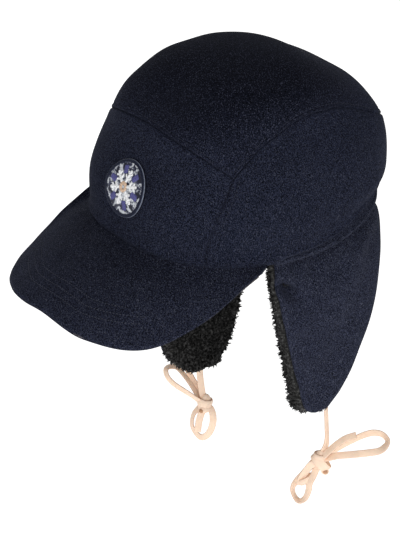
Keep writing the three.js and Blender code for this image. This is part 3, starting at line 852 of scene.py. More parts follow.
@dataclass
class Crown:
    """The four crown panels with their seams, and the topstitching beside the seams."""

    wall: float = 2.0
    sink_limit: float = -1.9
    middle: tuple = (0.0, 0.0, 30.0)
    # Seams: how far the panels lap, the groove, and the topstitched allowance or the plain swell beside it
    seam_lap_angle: float = 0.06
    seam_lap_level: float = 0.001
    groove: Hump = Hump(1.35, 0.0, 0.9)
    stitch_from_seam: float = 4.6
    stitch_sink: float = 0.15
    allowance_high: float = 0.15
    allowance_sharp: float = 3.0
    stitch_dent: Hump = Hump(0.35, 4.6, 0.8)
    plain_swell: Hump = Hump(0.12, 4.0, 3.0)
    pucker_hump: Hump = Hump(0.14, 2.0, 5.0)
    pucker_lengths: tuple = (9.0, 5.7)
    # Lower edge: its roll and crease, deeper in front, tucked over the peak and drawn up behind each ear
    hem_roll: Hump = Hump(1.0, 2.4, 2.0)
    hem_crease: Hump = Hump(1.2, 0.0, 1.0)
    hem_front: float = 1.2
    front_tuck: Hump = Hump(3.0, 0.0, 1.6)
    peak_end_angle: float = 74.0
    peak_end_soft: float = 1.5
    ear_lift: Hump = Hump(10.0, 131.0, 24.0)
    ear_lift_tall: float = 20.0
    # Fullness over the right temple, against the angle and the level, and the cloth's slow unevenness
    full_angle: float = 41.0
    fullness: Hump = Hump(3.8, 0.0, 24.0)
    full_level: Hump = Hump(1.0, 0.8, 0.13)
    uneven: float = 0.45
    uneven_length: float = 46.0
    # Rough lengths over the panels in millimetres, and faces along and up each
    run_front: float = 84.0
    high_front: float = 78.0
    run_side: float = 215.0
    high_side: float = 84.0
    run_top: float = 480.0
    high_top: float = 62.0
    front_grid: tuple = (130, 76)
    side_grid: tuple = (200, 84)
    top_grid: tuple = (320, 64)
    top_crowding: float = 1.7
    top_merge: float = 2e-6

    def seam_height(self, distance: Array, stitched: bool) -> Array:
        """Height of the cloth beside a seam.

        Args:
            distance: millimetres from the seam.
            stitched: whether the seam allowance is topstitched on this side.

        Returns:
            The height over the plain surface.
        """
        height = -self.groove.height(distance)
        if stitched:
            band = 1 / (1 + np.exp((distance - self.stitch_from_seam) * self.allowance_sharp))
            height += self.allowance_high * band - self.stitch_dent.height(distance)
        else:
            height += self.plain_swell.height(distance)
        return height

    def hem_height(self, distance: Array) -> Array:
        """Height of the rolled lower edge of the crown, by the distance above it."""
        return self.hem_roll.height(distance) - self.hem_crease.height(distance)

    def hem_lift(self, angle: Array, low: Array) -> Array:
        """How far the lower edge is drawn up behind each ear."""
        return self.ear_lift.height(np.abs(angle)) * bell(low, self.ear_lift_tall)

    def drape(self, angle: Array, level: Array) -> Array:
        """Slow uneven rise of the cloth away from its seams, fuller over the right temple.

        Args:
            angle: degrees from the front.
            level: 0 at the lower edge to 1 at the top.

        Returns:
            The rise in millimetres.
        """
        turn = (angle + self.full_angle + 180) % 360 - 180
        full = self.fullness.height(turn) * self.full_level.height(level)
        return full + self.uneven * undulation(CROWN.point(angle, level), self.uneven_length, 3)

    def pucker(self, run: Array, distance: Array, seed: float) -> Array:
        """Small puckers along a seam.

        Args:
            run: millimetres along the seam.
            distance: millimetres from it.
            seed: shift of the puckers, another for each seam.

        Returns:
            The rise in millimetres.
        """
        slow, fast = (np.sin(run * (2 * math.pi / length) + (k + 1) * seed)
                      for k, length in enumerate(self.pucker_lengths))
        return (slow + 0.6 * fast) * self.pucker_hump.height(distance)

    def build_front(self) -> bpy.types.Object:
        """Makes the front panel.

        Returns:
            The panel's cloth.
        """

        def place(across: Array, up: Array) -> Array:
            """Point of the front panel.

            Args:
                across: share from the right seam to the left.
                up: share from the lower edge to the top seam.

            Returns:
                The places in millimetres.
            """
            share = packed(across) * 2 - 1
            step = packed(up)
            level = step * (CROWN.top_seam_level(share * CORNER_ANGLE) + self.seam_lap_level)
            angle = share * (CROWN.front_seam_angle(level) + self.seam_lap_angle)
            side, top = (1 - np.abs(share)) * self.run_front, (1 - step) * self.high_front
            height = self.seam_height(side, False) + self.seam_height(top, False)
            low = step * self.high_front
            height += self.hem_front * self.hem_height(low)
            height += self.drape(angle, level) * np.clip(step * 4, 0, 1)
            height += self.pucker(share * self.run_front, top, 1.0)
            point = CROWN.raised(angle, level, np.maximum(height, self.sink_limit))
            point[..., 2] -= self.front_tuck.height(low)
            return point

        cloth = placed_grid("crown_front_cloth", *self.front_grid, place)
        return thicken(outward(cloth, self.middle), self.wall)

    def build_side(self, side: int, name: str) -> bpy.types.Object:
        """Makes a side panel.

        Args:
            side: 1 for the wearer's left and -1 for the right.
            name: the object's name.

        Returns:
            The panel's cloth.
        """

        def place(along: Array, up: Array) -> Array:
            """Point of the side panel.

            Args:
                along: share from the front seam to the back seam.
                up: share from the lower edge to the top seam.

            Returns:
                The places in millimetres.
            """
            share = packed(along)
            step = packed(up)
            base = CORNER_ANGLE + share * (180 - CORNER_ANGLE)
            level = step * (CROWN.top_seam_level(base) + self.seam_lap_level)
            lean = (CROWN.front_seam_angle(level) - CORNER_ANGLE) * (1 - share) ** 3
            angle = side * (base + lean - self.seam_lap_angle * (1 - 2 * share))
            front, back = share * self.run_side, (1 - share) * self.run_side
            top, low = (1 - step) * self.high_side, step * self.high_side
            height = self.seam_height(front, True) + self.seam_height(back, False)
            height += self.seam_height(top, False) + self.hem_height(low)
            height += self.drape(angle, level) * np.clip(low / 8, 0, 1) + self.pucker(front, top, 2.0)
            point = CROWN.raised(angle, level, np.maximum(height, self.sink_limit))
            over_peak = 1 / (1 + np.exp((np.abs(angle) - self.peak_end_angle) / self.peak_end_soft))
            point[..., 2] += self.hem_lift(angle, low) - self.front_tuck.height(low) * over_peak
            return point

        return thicken(outward(placed_grid(name, *self.side_grid, place), self.middle), self.wall)

    def build_top(self) -> bpy.types.Object:
        """Makes the top panel, as rings from its seam to the top of the crown.

        Returns:
            The panel's cloth.
        """

        def place(round_share: Array, up: Array) -> Array:
            """Point of the top panel.

            Args:
                round_share: share of the turn, from the front towards the wearer's left.
                up: share from the seam to the top of the crown.

            Returns:
                The places in millimetres.
            """
            angle = round_share * 360
            step = up ** self.top_crowding
            edge = CROWN.top_seam_level(angle) - self.seam_lap_level
            level = edge + (1 - edge) * step
            distance = step * self.high_top
            height = self.seam_height(distance, True) + self.drape(angle, level) * (1 - up ** 6)
            height += self.pucker(round_share * self.run_top, distance, 3.0)
            return CROWN.raised(angle, level, np.maximum(height, self.sink_limit))

        bm = bmesh.new()
        bmesh.ops.create_grid(bm, x_segments=self.top_grid[0], y_segments=self.top_grid[1], size=0.5)
        flat = np.array([vert.co[:2] for vert in bm.verts]) + 0.5
        for vert, point in zip(bm.verts, place(np.clip(flat[:, 0], 0, 1), np.clip(flat[:, 1], 0, 1)) * MM):
            vert.co = point
        bmesh.ops.remove_doubles(bm, verts=bm.verts, dist=self.top_merge)
        return thicken(outward(object_from(bm, "crown_top_cloth"), self.middle), self.wall)

    def top_stitch_route(self) -> tuple[Array, Array]:
        """Line of the topstitching on the top panel.

        Returns:
            The line's places in millimetres, and the cloth's outward direction at each.
        """
        angle = np.linspace(0, 360, 361)
        edge = CROWN.top_seam_level(angle) - self.seam_lap_level
        level = edge + (1 - edge) * (self.stitch_from_seam / self.high_top)
        sunk = np.full(len(angle), -self.stitch_sink)
        return CROWN.raised(angle, level, sunk), CROWN.normal(angle, level)

    def side_stitch_route(self, side: int) -> tuple[Array, Array]:
        """Line of the topstitching behind a front side seam.

        Args:
            side: 1 for the wearer's left and -1 for the right.

        Returns:
            The line's places in millimetres, and the cloth's outward direction at each.
        """
        step = np.linspace(0.02, 0.93, 60)
        share = self.stitch_from_seam / self.run_side
        base = CORNER_ANGLE + share * (180 - CORNER_ANGLE)
        level = step * CROWN.top_seam_level(np.full(len(step), base))
        angle = side * (base + (CROWN.front_seam_angle(level) - CORNER_ANGLE) * (1 - share) ** 3)
        sunk = np.full(len(step), -self.stitch_sink)
        return CROWN.raised(angle, level, sunk), CROWN.normal(angle, level)

    def build(self, finishes: Finishes) -> None:
        """Builds and dresses the crown.

        Args:
            finishes: the cap's materials.
        """
        settle(self.build_front(), "wool_cloth", finishes.wool, "crown_front_panel")
        settle(self.build_top(), "wool_cloth_top", finishes.wool_top, "crown_top_panel")
        for side, name in ((1, "left"), (-1, "right")):
            panel = self.build_side(side, f"crown_side_cloth_{name}")
            settle(panel, "wool_cloth", finishes.wool, f"crown_side_panel_{name}")
            row = Stitching().row(f"side_seam_stitches_{name}", *self.side_stitch_route(side))
            settle(row, "wool_cloth", finishes.tonal)
        row = Stitching().row("top_seam_stitches", *self.top_stitch_route())
        settle(row, "wool_cloth_top", finishes.tonal)


@dataclass
class Peak:
    """The stiffened peak, covered in cloth, with rows of stitching along its front."""

    end_angle: float = 68.0
    root_inset: float = 3.0
    root_drop: float = 0.4
    bulge: float = 3.0
    thick: float = 3.2
    thin_share: float = 0.5
    ends_thin: float = 9.0
    edge_roll: Hump = Hump(1.4, 0.0, 1.5)
    length: float = 77.0
    # Twist of the soft peak, against the share across it: its nose pushed forward, its height up and down
    near_push: Hump = Hump(5.2, 0.2, 0.26)
    far_push: Hump = Hump(3.6, -0.12, 0.16)
    far_lift: Hump = Hump(8.5, -0.97, 0.13)
    far_drop: Hump = Hump(1.6, -0.48, 0.2)
    near_drop: Hump = Hump(1.6, 0.5, 0.25)
    uneven: float = 0.3
    uneven_length: float = 30.0
    # Rows of stitches: their steps, how far they reach, how they lean back, and their dent
    stitch_rows: tuple = (0.820, 0.745, 0.670)
    stitch_reach: float = 0.50
    stitch_lean: float = 0.26
    lean_from: float = 0.2
    stitch_dent: Hump = Hump(0.25, 0.0, 0.8)
    # Grid of the cloth, and how far its columns and rows crowd towards the edges
    grid: tuple = (190, 110)
    column_crowding: float = 1.35
    row_crowding: float = 0.75
    # Folded edge underneath: how far it reaches, how far it lies below, and half its width and height
    fold_reach: float = 0.985
    fold_below: float = 0.35
    fold_half: tuple = (0.7, 0.6)
    fold_grid: tuple = (180, 8)

    def top(self, share: Array, step: Array) -> Array:
        """Point on the upper face.

        Args:
            share: place across, from -1 on the wearer's right to 1 on the left.
            step: place from the crown, 0, to the edge, 1.

        Returns:
            The places in millimetres.
        """
        share, step = np.broadcast_arrays(np.asarray(share, float), np.asarray(step, float))
        size = np.abs(share)
        root = CROWN.rim(share * self.end_angle, self.root_inset, -self.root_drop)
        shares, across, forward, height = zip(*PEAK_EDGE)
        push = self.near_push.height(share) + self.far_push.height(share)
        edge = np.stack(
            [
                np.sign(share) * column_at(shares, across, size),
                -column_at(shares, forward, size, 0) - push,
                column_at(shares, height, size, 0),
            ],
            axis=-1,
        )
        point = root + (edge - root) * step[..., None]
        rise = self.bulge * 4 * step * (1 - step) * (1 - size**4) * np.minimum(1, step * 4)
        twist = self.far_lift.height(share) - self.far_drop.height(share) - self.near_drop.height(share)
        point[..., 2] += rise + twist * step
        return point

    def stitch_step(self, row: float, share: Array) -> Array:
        """Step of a row of stitches, which runs a little further back towards both sides."""
        return row - self.stitch_lean * np.maximum(np.abs(share) - self.lean_from, 0)

    def normal(self, share: Array, step: Array) -> Array:
        """Upward direction of the peak.

        Args:
            share: place across, from -1 to 1.
            step: place from the crown to the edge.

        Returns:
            One direction of length 1 for each place.
        """
        share, step = np.broadcast_arrays(np.asarray(share, float), np.asarray(step, float))
        delta = 0.01
        before, after = np.maximum(share - delta, -1), np.minimum(share + delta, 1)
        across = self.top(after, step) - self.top(before, step)
        out = self.top(share, np.minimum(step + delta, 1)) - self.top(share, np.maximum(step - delta, 0))
        cross = np.cross(across, out)
        cross *= np.where(cross[..., 2:] < 0, -1.0, 1.0)
        return cross / np.linalg.norm(cross, axis=-1, keepdims=True)

    def build(self, finishes: Finishes) -> None:
        """Builds and dresses the peak.

        Args:
            finishes: the cap's materials.
        """

        def place(across: Array, out: Array) -> Array:
            """Point on the cloth of the peak's upper face.

            Args:
                across: share from the wearer's right to the left.
                out: share from the crown to the edge.

            Returns:
                The places in millimetres.
            """
            share = np.sin((across * 2 - 1) * self.column_crowding) / math.sin(self.column_crowding)
            step = packed(out, self.row_crowding)
            height = -self.edge_roll.height((1 - step) * self.length)
            for row in self.stitch_rows:
                from_row = (step - self.stitch_step(row, share)) * self.length
                height -= self.stitch_dent.height(from_row) * (np.abs(share) < self.stitch_reach)
            height += self.uneven * undulation(self.top(share, step), self.uneven_length, 5)
            return self.top(share, step) + self.normal(share, np.maximum(step, 0.03)) * height[..., None]

        cloth = placed_grid("peak_cloth", *self.grid, place)
        thicken(outward(cloth, (0, -90, -90)), self.thick)
        self.thin_edges(cloth)
        settle(cloth, "wool_peak", finishes.wool_peak, "peak")
        settle(self.build_edge(), "wool_peak", finishes.edge)
        for index, row in enumerate(self.stitch_rows, 1):
            share = np.linspace(-self.stitch_reach, self.stitch_reach, 160)
            step = self.stitch_step(row, share)
            stitches = Stitching(1.5, 0.5, 2.4).row(
                f"peak_stitches_{index}", self.top(share, step) - 0.1 * self.normal(share, step),
                self.normal(share, step),
            )
            settle(stitches, "wool_peak", finishes.peak_thread)

    def thin_edges(self, cloth: bpy.types.Object) -> None:
        """Thins the peak towards its edge and its two ends.

        Args:
            cloth: the peak's cloth, one grid with its wall as a modifier.
        """
        columns, rows = self.grid
        group = cloth.vertex_groups.new(name="full_wall")
        for index in range(len(cloth.data.vertices)):
            across, out = index % (columns + 1) / columns, index // (columns + 1) / rows
            weight = min(min(1 - out, across, 1 - across) * self.ends_thin, 1.0)
            group.add([index], weight, "REPLACE")
        wall = cloth.modifiers["wall"]
        wall.vertex_group = group.name
        wall.thickness_vertex_group = self.thin_share

    def build_edge(self) -> bpy.types.Object:
        """Makes the narrow folded edge that shows along the underside of the peak.

        Returns:
            The folded edge.
        """

        def place(along: Array, around: Array) -> Array:
            """Point on the fold's surface.

            Args:
                along: share of the fold's length.
                around: share of the turn round its section.

            Returns:
                The places in millimetres.
            """
            half_wide, half_high = self.fold_half
            share = (along * 2 - 1) * self.fold_reach
            roll = around * 2 * math.pi
            step = np.full(len(share), 1.0)
            below = self.thick * self.thin_share + self.fold_below
            middle = self.top(share, step) - self.normal(share, step) * below
            inward = self.top(share, step * 0.97) - self.top(share, step)
            inward /= np.linalg.norm(inward, axis=1, keepdims=True)
            reach = inward * (1.0 - half_wide * np.cos(roll))[:, None]
            return middle + reach + self.normal(share, step) * (half_high * np.sin(roll))[:, None]

        return placed_grid("peak_folded_edge", *self.fold_grid, place, wraps=True)


@dataclass
class RimBand:
    """The folded cloth that shows under the crown's lower edge, round the back from flap to flap."""

    start_angle: float = 70.5
    columns: int = 220
    # Inset and height of the folded strip's outline
    outline: tuple = (
        (3.2, 11.5), (3.2, -0.6), (1.4, -1.2), (0.8, -2.2), (0.8, -3.6), (1.7, -4.8), (3.2, -5.1),
        (4.6, -4.8), (5.2, -3.5), (5.2, 11.5),
    )

    def build(self, finishes: Finishes) -> None:
        """Builds and dresses the band.

        Args:
            finishes: the cap's materials.
        """
        insets, heights = (np.array(column) for column in zip(*self.outline, self.outline[0]))

        def place(along: Array, round_share: Array) -> Array:
            """Point on the band's surface.

            Args:
                along: share of the way round the back.
                round_share: share of the strip's outline.

            Returns:
                The places in millimetres.
            """
            angle = self.start_angle + (360 - 2 * self.start_angle) * along
            at = round_share * (len(insets) - 1)
            inset = np.interp(at, np.arange(len(insets)), insets)
            height = np.interp(at, np.arange(len(insets)), heights)
            return CROWN.rim(angle, inset, height)

        band = placed_grid("rim_band_cloth", self.columns, len(insets) - 1, place, wraps=True)
        settle(band, "wool_band", finishes.wool_band, "rim_band")


@dataclass
class Earflap:
    """One earflap: its cloth outside, its curly pile inside, and how it hangs."""

    name: str
    side: int
    sideways: float
    backward: float
    stretch: float
    spread_front: float
    spread_back: float
    pile_thick: float
    pile_tip_thick: float
    pile_overhang: float
    crease_deep: float
    wall: float = 2.2
    tip_round: Hump = Hump(0.5, 0.0, 9.0)
    tip_crowding: float = 1.6
    edge_roll: Hump = Hump(1.4, 0.0, 1.6)
    # The dent under the rim: its place, slant and half width across and along
    crease_angle: float = 79.0
    crease_depth: float = 29.0
    crease_slant: float = 0.75
    crease_across: float = 4.9
    crease_along: float = 14.0
    # Slow unevenness of the cloth, and its gathers by depth under the rim
    uneven: float = 1.0
    uneven_length: float = 36.0
    uneven_grows: float = 25.0
    gathers: Hump = Hump(0.9, 16.0, 12.0)
    gather_length: float = 15.0
    # Pad of the pile: where it starts, its lumps, and the depths over which it grows fuller to its tip
    pile_near: float = 3.0
    pile_top: float = -8.0
    pile_lump: float = 0.7
    lump_length: float = 7.0
    fuller_from: float = 50.0
    fuller_over: float = 75.0
    # Tufts: their number, least and most thickness and height, how they scatter and how they droop
    tufts: int = 6800
    seed: int = 11
    tuft_thick: tuple = (0.9, 1.5)
    tuft_tall: tuple = (0.6, 1.45)
    tuft_scatter: float = 0.55
    tuft_droop: float = 0.2
    # Faces that point further from the head than this are against the cloth and bare
    cloth_facing: float = -0.45
    # Cut of the cloth: its width in metres, and the share of its rectangle that it fills
    cut_width: float = 0.118
    cut_share: float = 0.66
    fill: float = 0.4
    shell_grid: tuple = (84, 110)
    pile_grid: tuple = (96, 84)

    @property
    def deepest(self) -> float:
        """Depth of the flap's lowest row."""
        return FLAP_ROWS[-1][0]

    def point(self, share: Array, depth: Array, inset: Array) -> Array:
        """Point of the flap.

        Args:
            share: place from its front edge, 0, to its back edge, 1.
            depth: millimetres under the rim.
            inset: millimetres inward from its outer face.

        Returns:
            The places in millimetres.
        """
        depths, front, back, out_front, out_back = zip(*FLAP_ROWS)
        down = np.maximum(depth, 0) / self.deepest * (1 - self.tip_round.height(depth - self.deepest))
        angle = (column_at(depths, front, depth) - self.spread_front * down) * (1 - share)
        angle = angle + (column_at(depths, back, depth) + self.spread_back * down) * share
        below, behind = depth - self.crease_depth, (angle - self.crease_angle) * MM_PER_DEGREE
        across, along = below - behind * self.crease_slant, behind + below * self.crease_slant
        crease = self.crease_deep * bell(across, self.crease_across) * bell(along, self.crease_along)
        out = column_at(depths, out_front, depth) * (1 - share) + column_at(depths, out_back, depth) * share
        rim = CROWN.rim(self.side * angle, inset - out + crease, 0.0)
        drop = np.maximum(depth, 0) * self.stretch
        z = rim[..., 2] * np.clip(1 - depth / FLAP_LEVEL_DEPTH, 0, 1) - np.where(depth < 0, depth, drop)
        x, y = rim[..., 0] + self.sideways * drop, rim[..., 1] + self.backward * drop
        return np.stack([x, y, z], axis=-1)

    def depth_at(self, down: Array) -> Array:
        """Depth of a row of the grid, closer together at the tip."""
        return -FLAP_TUCK + (self.deepest + FLAP_TUCK) * (1 - (1 - down) ** self.tip_crowding)

    def width_at(self, depth: Array) -> Array:
        """Width of the flap in millimetres at each depth."""
        depths, front, back = (np.array(column) for column in list(zip(*FLAP_ROWS))[:3])
        return (np.interp(depth, depths, back) - np.interp(depth, depths, front)) * MM_PER_DEGREE

    def edge_distance(self, share: Array, depth: Array) -> Array:
        """Rough distance in millimetres from the flap's free edge."""
        return np.minimum(np.minimum(share, 1 - share) * self.width_at(depth), self.deepest - depth)

    def build_shell(self) -> bpy.types.Object:
        """Makes the cloth outside of the flap.

        Returns:
            The cloth.
        """

        def place(across: Array, down: Array) -> Array:
            """Point on the outer face of the cloth.

            Args:
                across: share from the front edge to the back edge.
                down: share from the top row to the tip.

            Returns:
                The places in millimetres.
            """
            share, depth = packed(across, 0.7), self.depth_at(down)
            roll = self.edge_roll.height(self.edge_distance(share, depth))
            plain = self.point(share, depth, np.zeros_like(share))
            uneven = self.uneven * undulation(plain, self.uneven_length, 17 + self.side)
            uneven *= np.clip(depth / self.uneven_grows, 0, 1)
            stretched = plain * (1.0, 1.0, 0.5)
            gathers = undulation(stretched, self.gather_length, 29) * self.gathers.height(depth)
            return self.point(share, depth, roll - (uneven + gathers) * np.clip((1 - share) * 5, 0, 1))

        cloth = placed_grid(f"earflap_cloth_{self.name}", *self.shell_grid, place)
        middle = self.point(np.array([0.5]), np.array([50.0]), np.array([40.0]))[0]
        return thicken(outward(cloth, middle), self.wall)

    def build_pile(self) -> bpy.types.Object:
        """Makes the pile: an uneven pad covered with small tufts, as one mesh.

        Returns:
            The pile.
        """

        def place(around: Array, down: Array) -> Array:
            """Point on the pad.

            Args:
                around: share of the turn round its section, from the face against the cloth.
                down: share from the top row to the tip.

            Returns:
                The places in millimetres.
            """
            depth = np.clip(self.depth_at(down), self.pile_top, self.deepest - 0.6)
            side, front = np.sin(around * 2 * math.pi), np.cos(around * 2 * math.pi)
            reach = 0.5 + self.pile_overhang / self.width_at(depth)
            share = 0.5 + reach * np.sign(side) * np.abs(side) ** 0.45
            inner = 0.5 - 0.5 * np.sign(front) * np.abs(front) ** 0.35
            plain = self.point(share, depth, np.zeros_like(share))
            lump = self.pile_lump * undulation(plain, self.lump_length, 23)
            grown = np.clip((depth - self.fuller_from) / self.fuller_over, 0, 1) ** 1.5
            thick = self.pile_thick + lump + self.pile_tip_thick * grown
            return self.point(share, depth, self.pile_near + inner * thick)

        return self.add_tufts(placed_grid(f"earflap_pile_{self.name}", *self.pile_grid, place, wraps=True))

    def add_tufts(self, pad: bpy.types.Object) -> bpy.types.Object:
        """Covers a pad with curled tufts, but for the side against the cloth.

        Args:
            pad: the pad, which the tufts are joined to.

        Returns:
            The same object.
        """
        rng = np.random.default_rng(self.seed)
        faces = pad.data.polygons
        points = np.array([vert.co[:] for vert in pad.data.vertices])
        corners = points[np.array([[face.vertices[turn] for turn in (0, 1, 2, -1)] for face in faces])]
        normals = np.array([face.normal[:] for face in faces])
        areas = np.array([face.area for face in faces])
        inward = np.array([-self.side, 0.0, 0.0])
        weight = areas * (normals @ inward > self.cloth_facing)
        chosen = rng.choice(len(areas), size=self.tufts, p=weight / weight.sum())
        count = (self.tufts, 3)
        axis = normals[chosen] + rng.normal(size=count) * self.tuft_scatter
        axis[:, 2] -= self.tuft_droop
        axis /= np.linalg.norm(axis, axis=1, keepdims=True)
        across = np.cross(axis, rng.normal(size=count))
        across /= np.linalg.norm(across, axis=1, keepdims=True)
        third = np.cross(axis, across)
        thick = rng.uniform(*self.tuft_thick, size=(self.tufts, 1))
        tall = rng.uniform(*self.tuft_tall, size=(self.tufts, 1))
        along, over = rng.random((2, self.tufts, 1))
        near_left, near_right, far_right, far_left = np.moveaxis(corners[chosen], 1, 0)
        near = near_left * (1 - along) + near_right * along
        far = far_left * (1 - along) + far_right * along
        foot = near * (1 - over) + far * over
        frames = np.stack([across * thick, third * thick, axis * tall, foot], axis=2)
        tufts = joined_copies(pad.name + "_tufts", tuft_pattern(), frames)
        bm = bmesh.new()
        bm.from_mesh(pad.data)
        bm.from_mesh(tufts.data)
        bm.to_mesh(pad.data)
        bm.free()
        bpy.data.objects.remove(tufts)
        pad.data.shade_smooth()
        return pad

    def build(self, finishes: Finishes) -> None:
        """Builds and dresses the flap: its hanging cloth and its pad.

        Args:
            finishes: the cap's materials.
        """
        shell = self.build_shell()
        settle(shell, "wool_cloth", finishes.wool_flap, f"earflap_shell_{self.name}")
        pile = settle(self.build_pile(), "pile", finishes.pile, f"earflap_lining_{self.name}")


def tuft_pattern() -> bpy.types.Object:
    """One tuft of the pile: a short tapered lock that bends over.

    Returns:
        The tuft, standing on the origin.
    """
    length, thick, bend = 3.5, 0.68, 1.5

    def place(along: Array, around: Array) -> Array:
        """Point on the lock's surface.

        Args:
            along: share from its foot to its tip.
            around: share of the turn round it.

        Returns:
            The places in millimetres.
        """
        roll = around * 2 * math.pi
        size = thick * (1 - along) ** 0.6 * (0.75 + 0.25 * np.sin(along * math.pi))
        middle = np.stack([bend * along**2, 0 * along, -0.8 + length * along - 0.5 * along**3], axis=-1)
        return middle + np.stack([size * np.cos(roll), size * np.sin(roll), 0 * roll], axis=-1)

    return placed_grid("tuft_pattern", 3, 3, place, wraps=True)


@dataclass
class Badge:
    """Round embroidered badge on the front panel: ground, dark ring, raised edge and a star of six arms."""

    angle: float = 1.5
    level: float = 0.285
    radius: float = 20.6
    edge_width: float = 1.9
    edge_high: float = 2.0
    level_height: float = 128.0
    stand: float = 0.4
    thick: float = 1.2
    spread: float = 1.1
    ribs: int = 120
    rib_high: float = 0.05
    # Star: number and turn of its arms, where each starts and ends, its branches as place and length
    arms: int = 6
    arm_turn: float = 12.0
    arm_reach: tuple = (3.4, 13.6)
    arm_size: tuple = (2.5, 0.8)
    branches: tuple = ((6.0, 4.4), (9.6, 3.4))
    branch_size: tuple = (1.7, 0.7)
    # Diamonds between the arms: where each starts and ends, its width and height
    diamond_reach: tuple = (9.2, 15.8)
    diamond_size: tuple = (4.6, 0.6)
    hub: float = 2.6

    def point(self, across: Array, up: Array, stand: Array) -> Array:
        """Point over the front panel.

        Args:
            across: millimetres to the left on the flat badge.
            up: millimetres up on it.
            stand: millimetres over the crown.

        Returns:
            The places in millimetres.
        """
        reach = np.linalg.norm(CROWN.point(np.array([self.angle]), np.array([self.level]))[0])
        angle = self.angle + np.degrees(across / reach) * self.spread
        return CROWN.raised(angle, self.level + up / self.level_height, stand)

    def disc(self, name: str, radius: float, low: float, high: float) -> bpy.types.Object:
        """Makes a round patch with a rounded rim.

        Args:
            name: the object's name.
            radius: its radius.
            low: height of its under face over the cloth.
            high: height of its upper face.

        Returns:
            The patch.
        """

        def place(turn: Array, out: Array) -> Array:
            """Point on the patch.

            Args:
                turn: share of the turn round it.
                out: share of the way from the under face round the rim to the upper face.

            Returns:
                The places in millimetres.
            """
            angle = turn * 2 * math.pi
            reach = radius * np.clip(1.6 * np.minimum(out, 1 - out) * 2, 0, 1) ** 0.8
            stand = low + (high - low) * np.clip((out - 0.35) / 0.3, 0, 1)
            return self.point(reach * np.sin(angle), reach * np.cos(angle), stand)

        return placed_grid(name, 96, 36, place, wraps=True)

    def ring(self, name: str, radius: float, width: float, low: float, high: float) -> bpy.types.Object:
        """Makes a raised ring with a round back, ribbed across like satin stitch.

        Args:
            name: the object's name.
            radius: radius of its middle line.
            width: its width.
            low: height of its foot over the cloth.
            high: height of its back.

        Returns:
            The ring.
        """

        def place(turn: Array, around: Array) -> Array:
            """Point on the ring's surface.

            Args:
                turn: share of the turn round the badge.
                around: share of the turn round its section.

            Returns:
                The places in millimetres.
            """
            angle, roll = turn * 2 * math.pi, around * 2 * math.pi
            rib = 1 + self.rib_high * np.sin(angle * self.ribs)
            reach = radius + width / 2 * np.cos(roll)
            stand = (low + high) / 2 + (high - low) / 2 * np.sin(roll) * rib
            return self.point(reach * np.sin(angle), reach * np.cos(angle), stand)

        return placed_grid(name, 480, 8, place, wraps=True)

    def bar(self, name: str, first: Array, last: Array, width: float, high: float) -> bpy.types.Object:
        """Makes one raised satin-stitched bar between two places on the badge.

        Args:
            name: the object's name.
            first: where it starts, across and up.
            last: where it ends.
            width: its width.
            high: its height over the ground.

        Returns:
            The bar.
        """
        heading = (last - first) / np.linalg.norm(last - first)
        side = np.array([-heading[1], heading[0]])

        def place(along: Array, around: Array) -> Array:
            """Point on the bar's surface.

            Args:
                along: share of its length.
                around: share of the turn round its section.

            Returns:
                The places in millimetres.
            """
            roll = around * 2 * math.pi
            swell = np.clip(np.sin(along * math.pi) * 6, 0, 1) ** 0.5
            beside = side * (width / 2 * swell * np.cos(roll))[:, None]
            flat = first + (last - first) * along[:, None] + beside
            base = self.stand + self.thick - 0.1
            return self.point(flat[:, 0], flat[:, 1], base + high * swell * np.sin(roll))

        return placed_grid(name, 24, 8, place, wraps=True)

    def joined(self, name: str, parts: Sequence[bpy.types.Object]) -> bpy.types.Object:
        """Joins small parts into one object.

        Args:
            name: the new object's name.
            parts: the parts, which are deleted.

        Returns:
            The joined object.
        """
        bm = bmesh.new()
        for part in parts:
            bm.from_mesh(part.data)
            bpy.data.objects.remove(part)
        return object_from(bm, name)

    def build(self, finishes: Finishes) -> None:
        """Builds and dresses the badge.

        Args:
            finishes: the cap's materials.
        """
        face_radius = self.radius - self.edge_width - 0.3
        top = self.stand + self.thick
        ground = self.disc("badge_ground", face_radius, self.stand, top)
        settle(ground, "badge_embroidery", finishes.badge_ground, "badge_face")
        dark = self.ring("badge_dark_ring", face_radius + 0.1, 1.0, top - 0.5, top + 0.45)
        settle(dark, "badge_embroidery", finishes.navy)
        middle = self.radius - self.edge_width / 2
        edge = self.ring("badge_edge", middle, self.edge_width, 0.1, self.edge_high)
        settle(edge, "badge_edge", finishes.navy, "badge_rim")
        line = self.ring("badge_silver_line", self.radius - 0.35, 0.75, 0.5, 1.75)
        settle(line, "badge_edge", finishes.silver)
        arms, diamonds = self.build_star()
        settle(self.joined("badge_star", arms), "badge_embroidery", finishes.white)
        settle(self.joined("badge_diamonds", diamonds), "badge_embroidery", finishes.lilac)
        hub = self.ring("badge_hub", self.hub, self.hub, top - 0.4, top + 0.6)
        settle(hub, "badge_embroidery", finishes.peach)

    def build_star(self) -> tuple[list, list]:
        """Makes the star's arms with their branches, and the diamonds between them.

        Returns:
            The bars of the arms, and those of the diamonds.
        """
        arms, diamonds = [], []
        for index in range(self.arms):
            turn = math.radians(360 / self.arms * index + self.arm_turn)
            out = np.array([math.sin(turn), math.cos(turn)])
            side = np.array([out[1], -out[0]])
            start, end = (out * reach for reach in self.arm_reach)
            arms.append(self.bar(f"arm_{index}", start, end, *self.arm_size))
            for reach, length in self.branches:
                for hand in (-1, 1):
                    start = out * reach
                    end = start + (out * 0.7 + side * hand) * length * 0.8
                    arms.append(self.bar(f"branch_{index}", start, end, *self.branch_size))
            between = turn + math.pi / self.arms
            way = np.array([math.sin(between), math.cos(between)])
            start, end = (way * reach for reach in self.diamond_reach)
            diamonds.append(self.bar(f"diamond_{index}", start, end, *self.diamond_size))
        return arms, diamonds


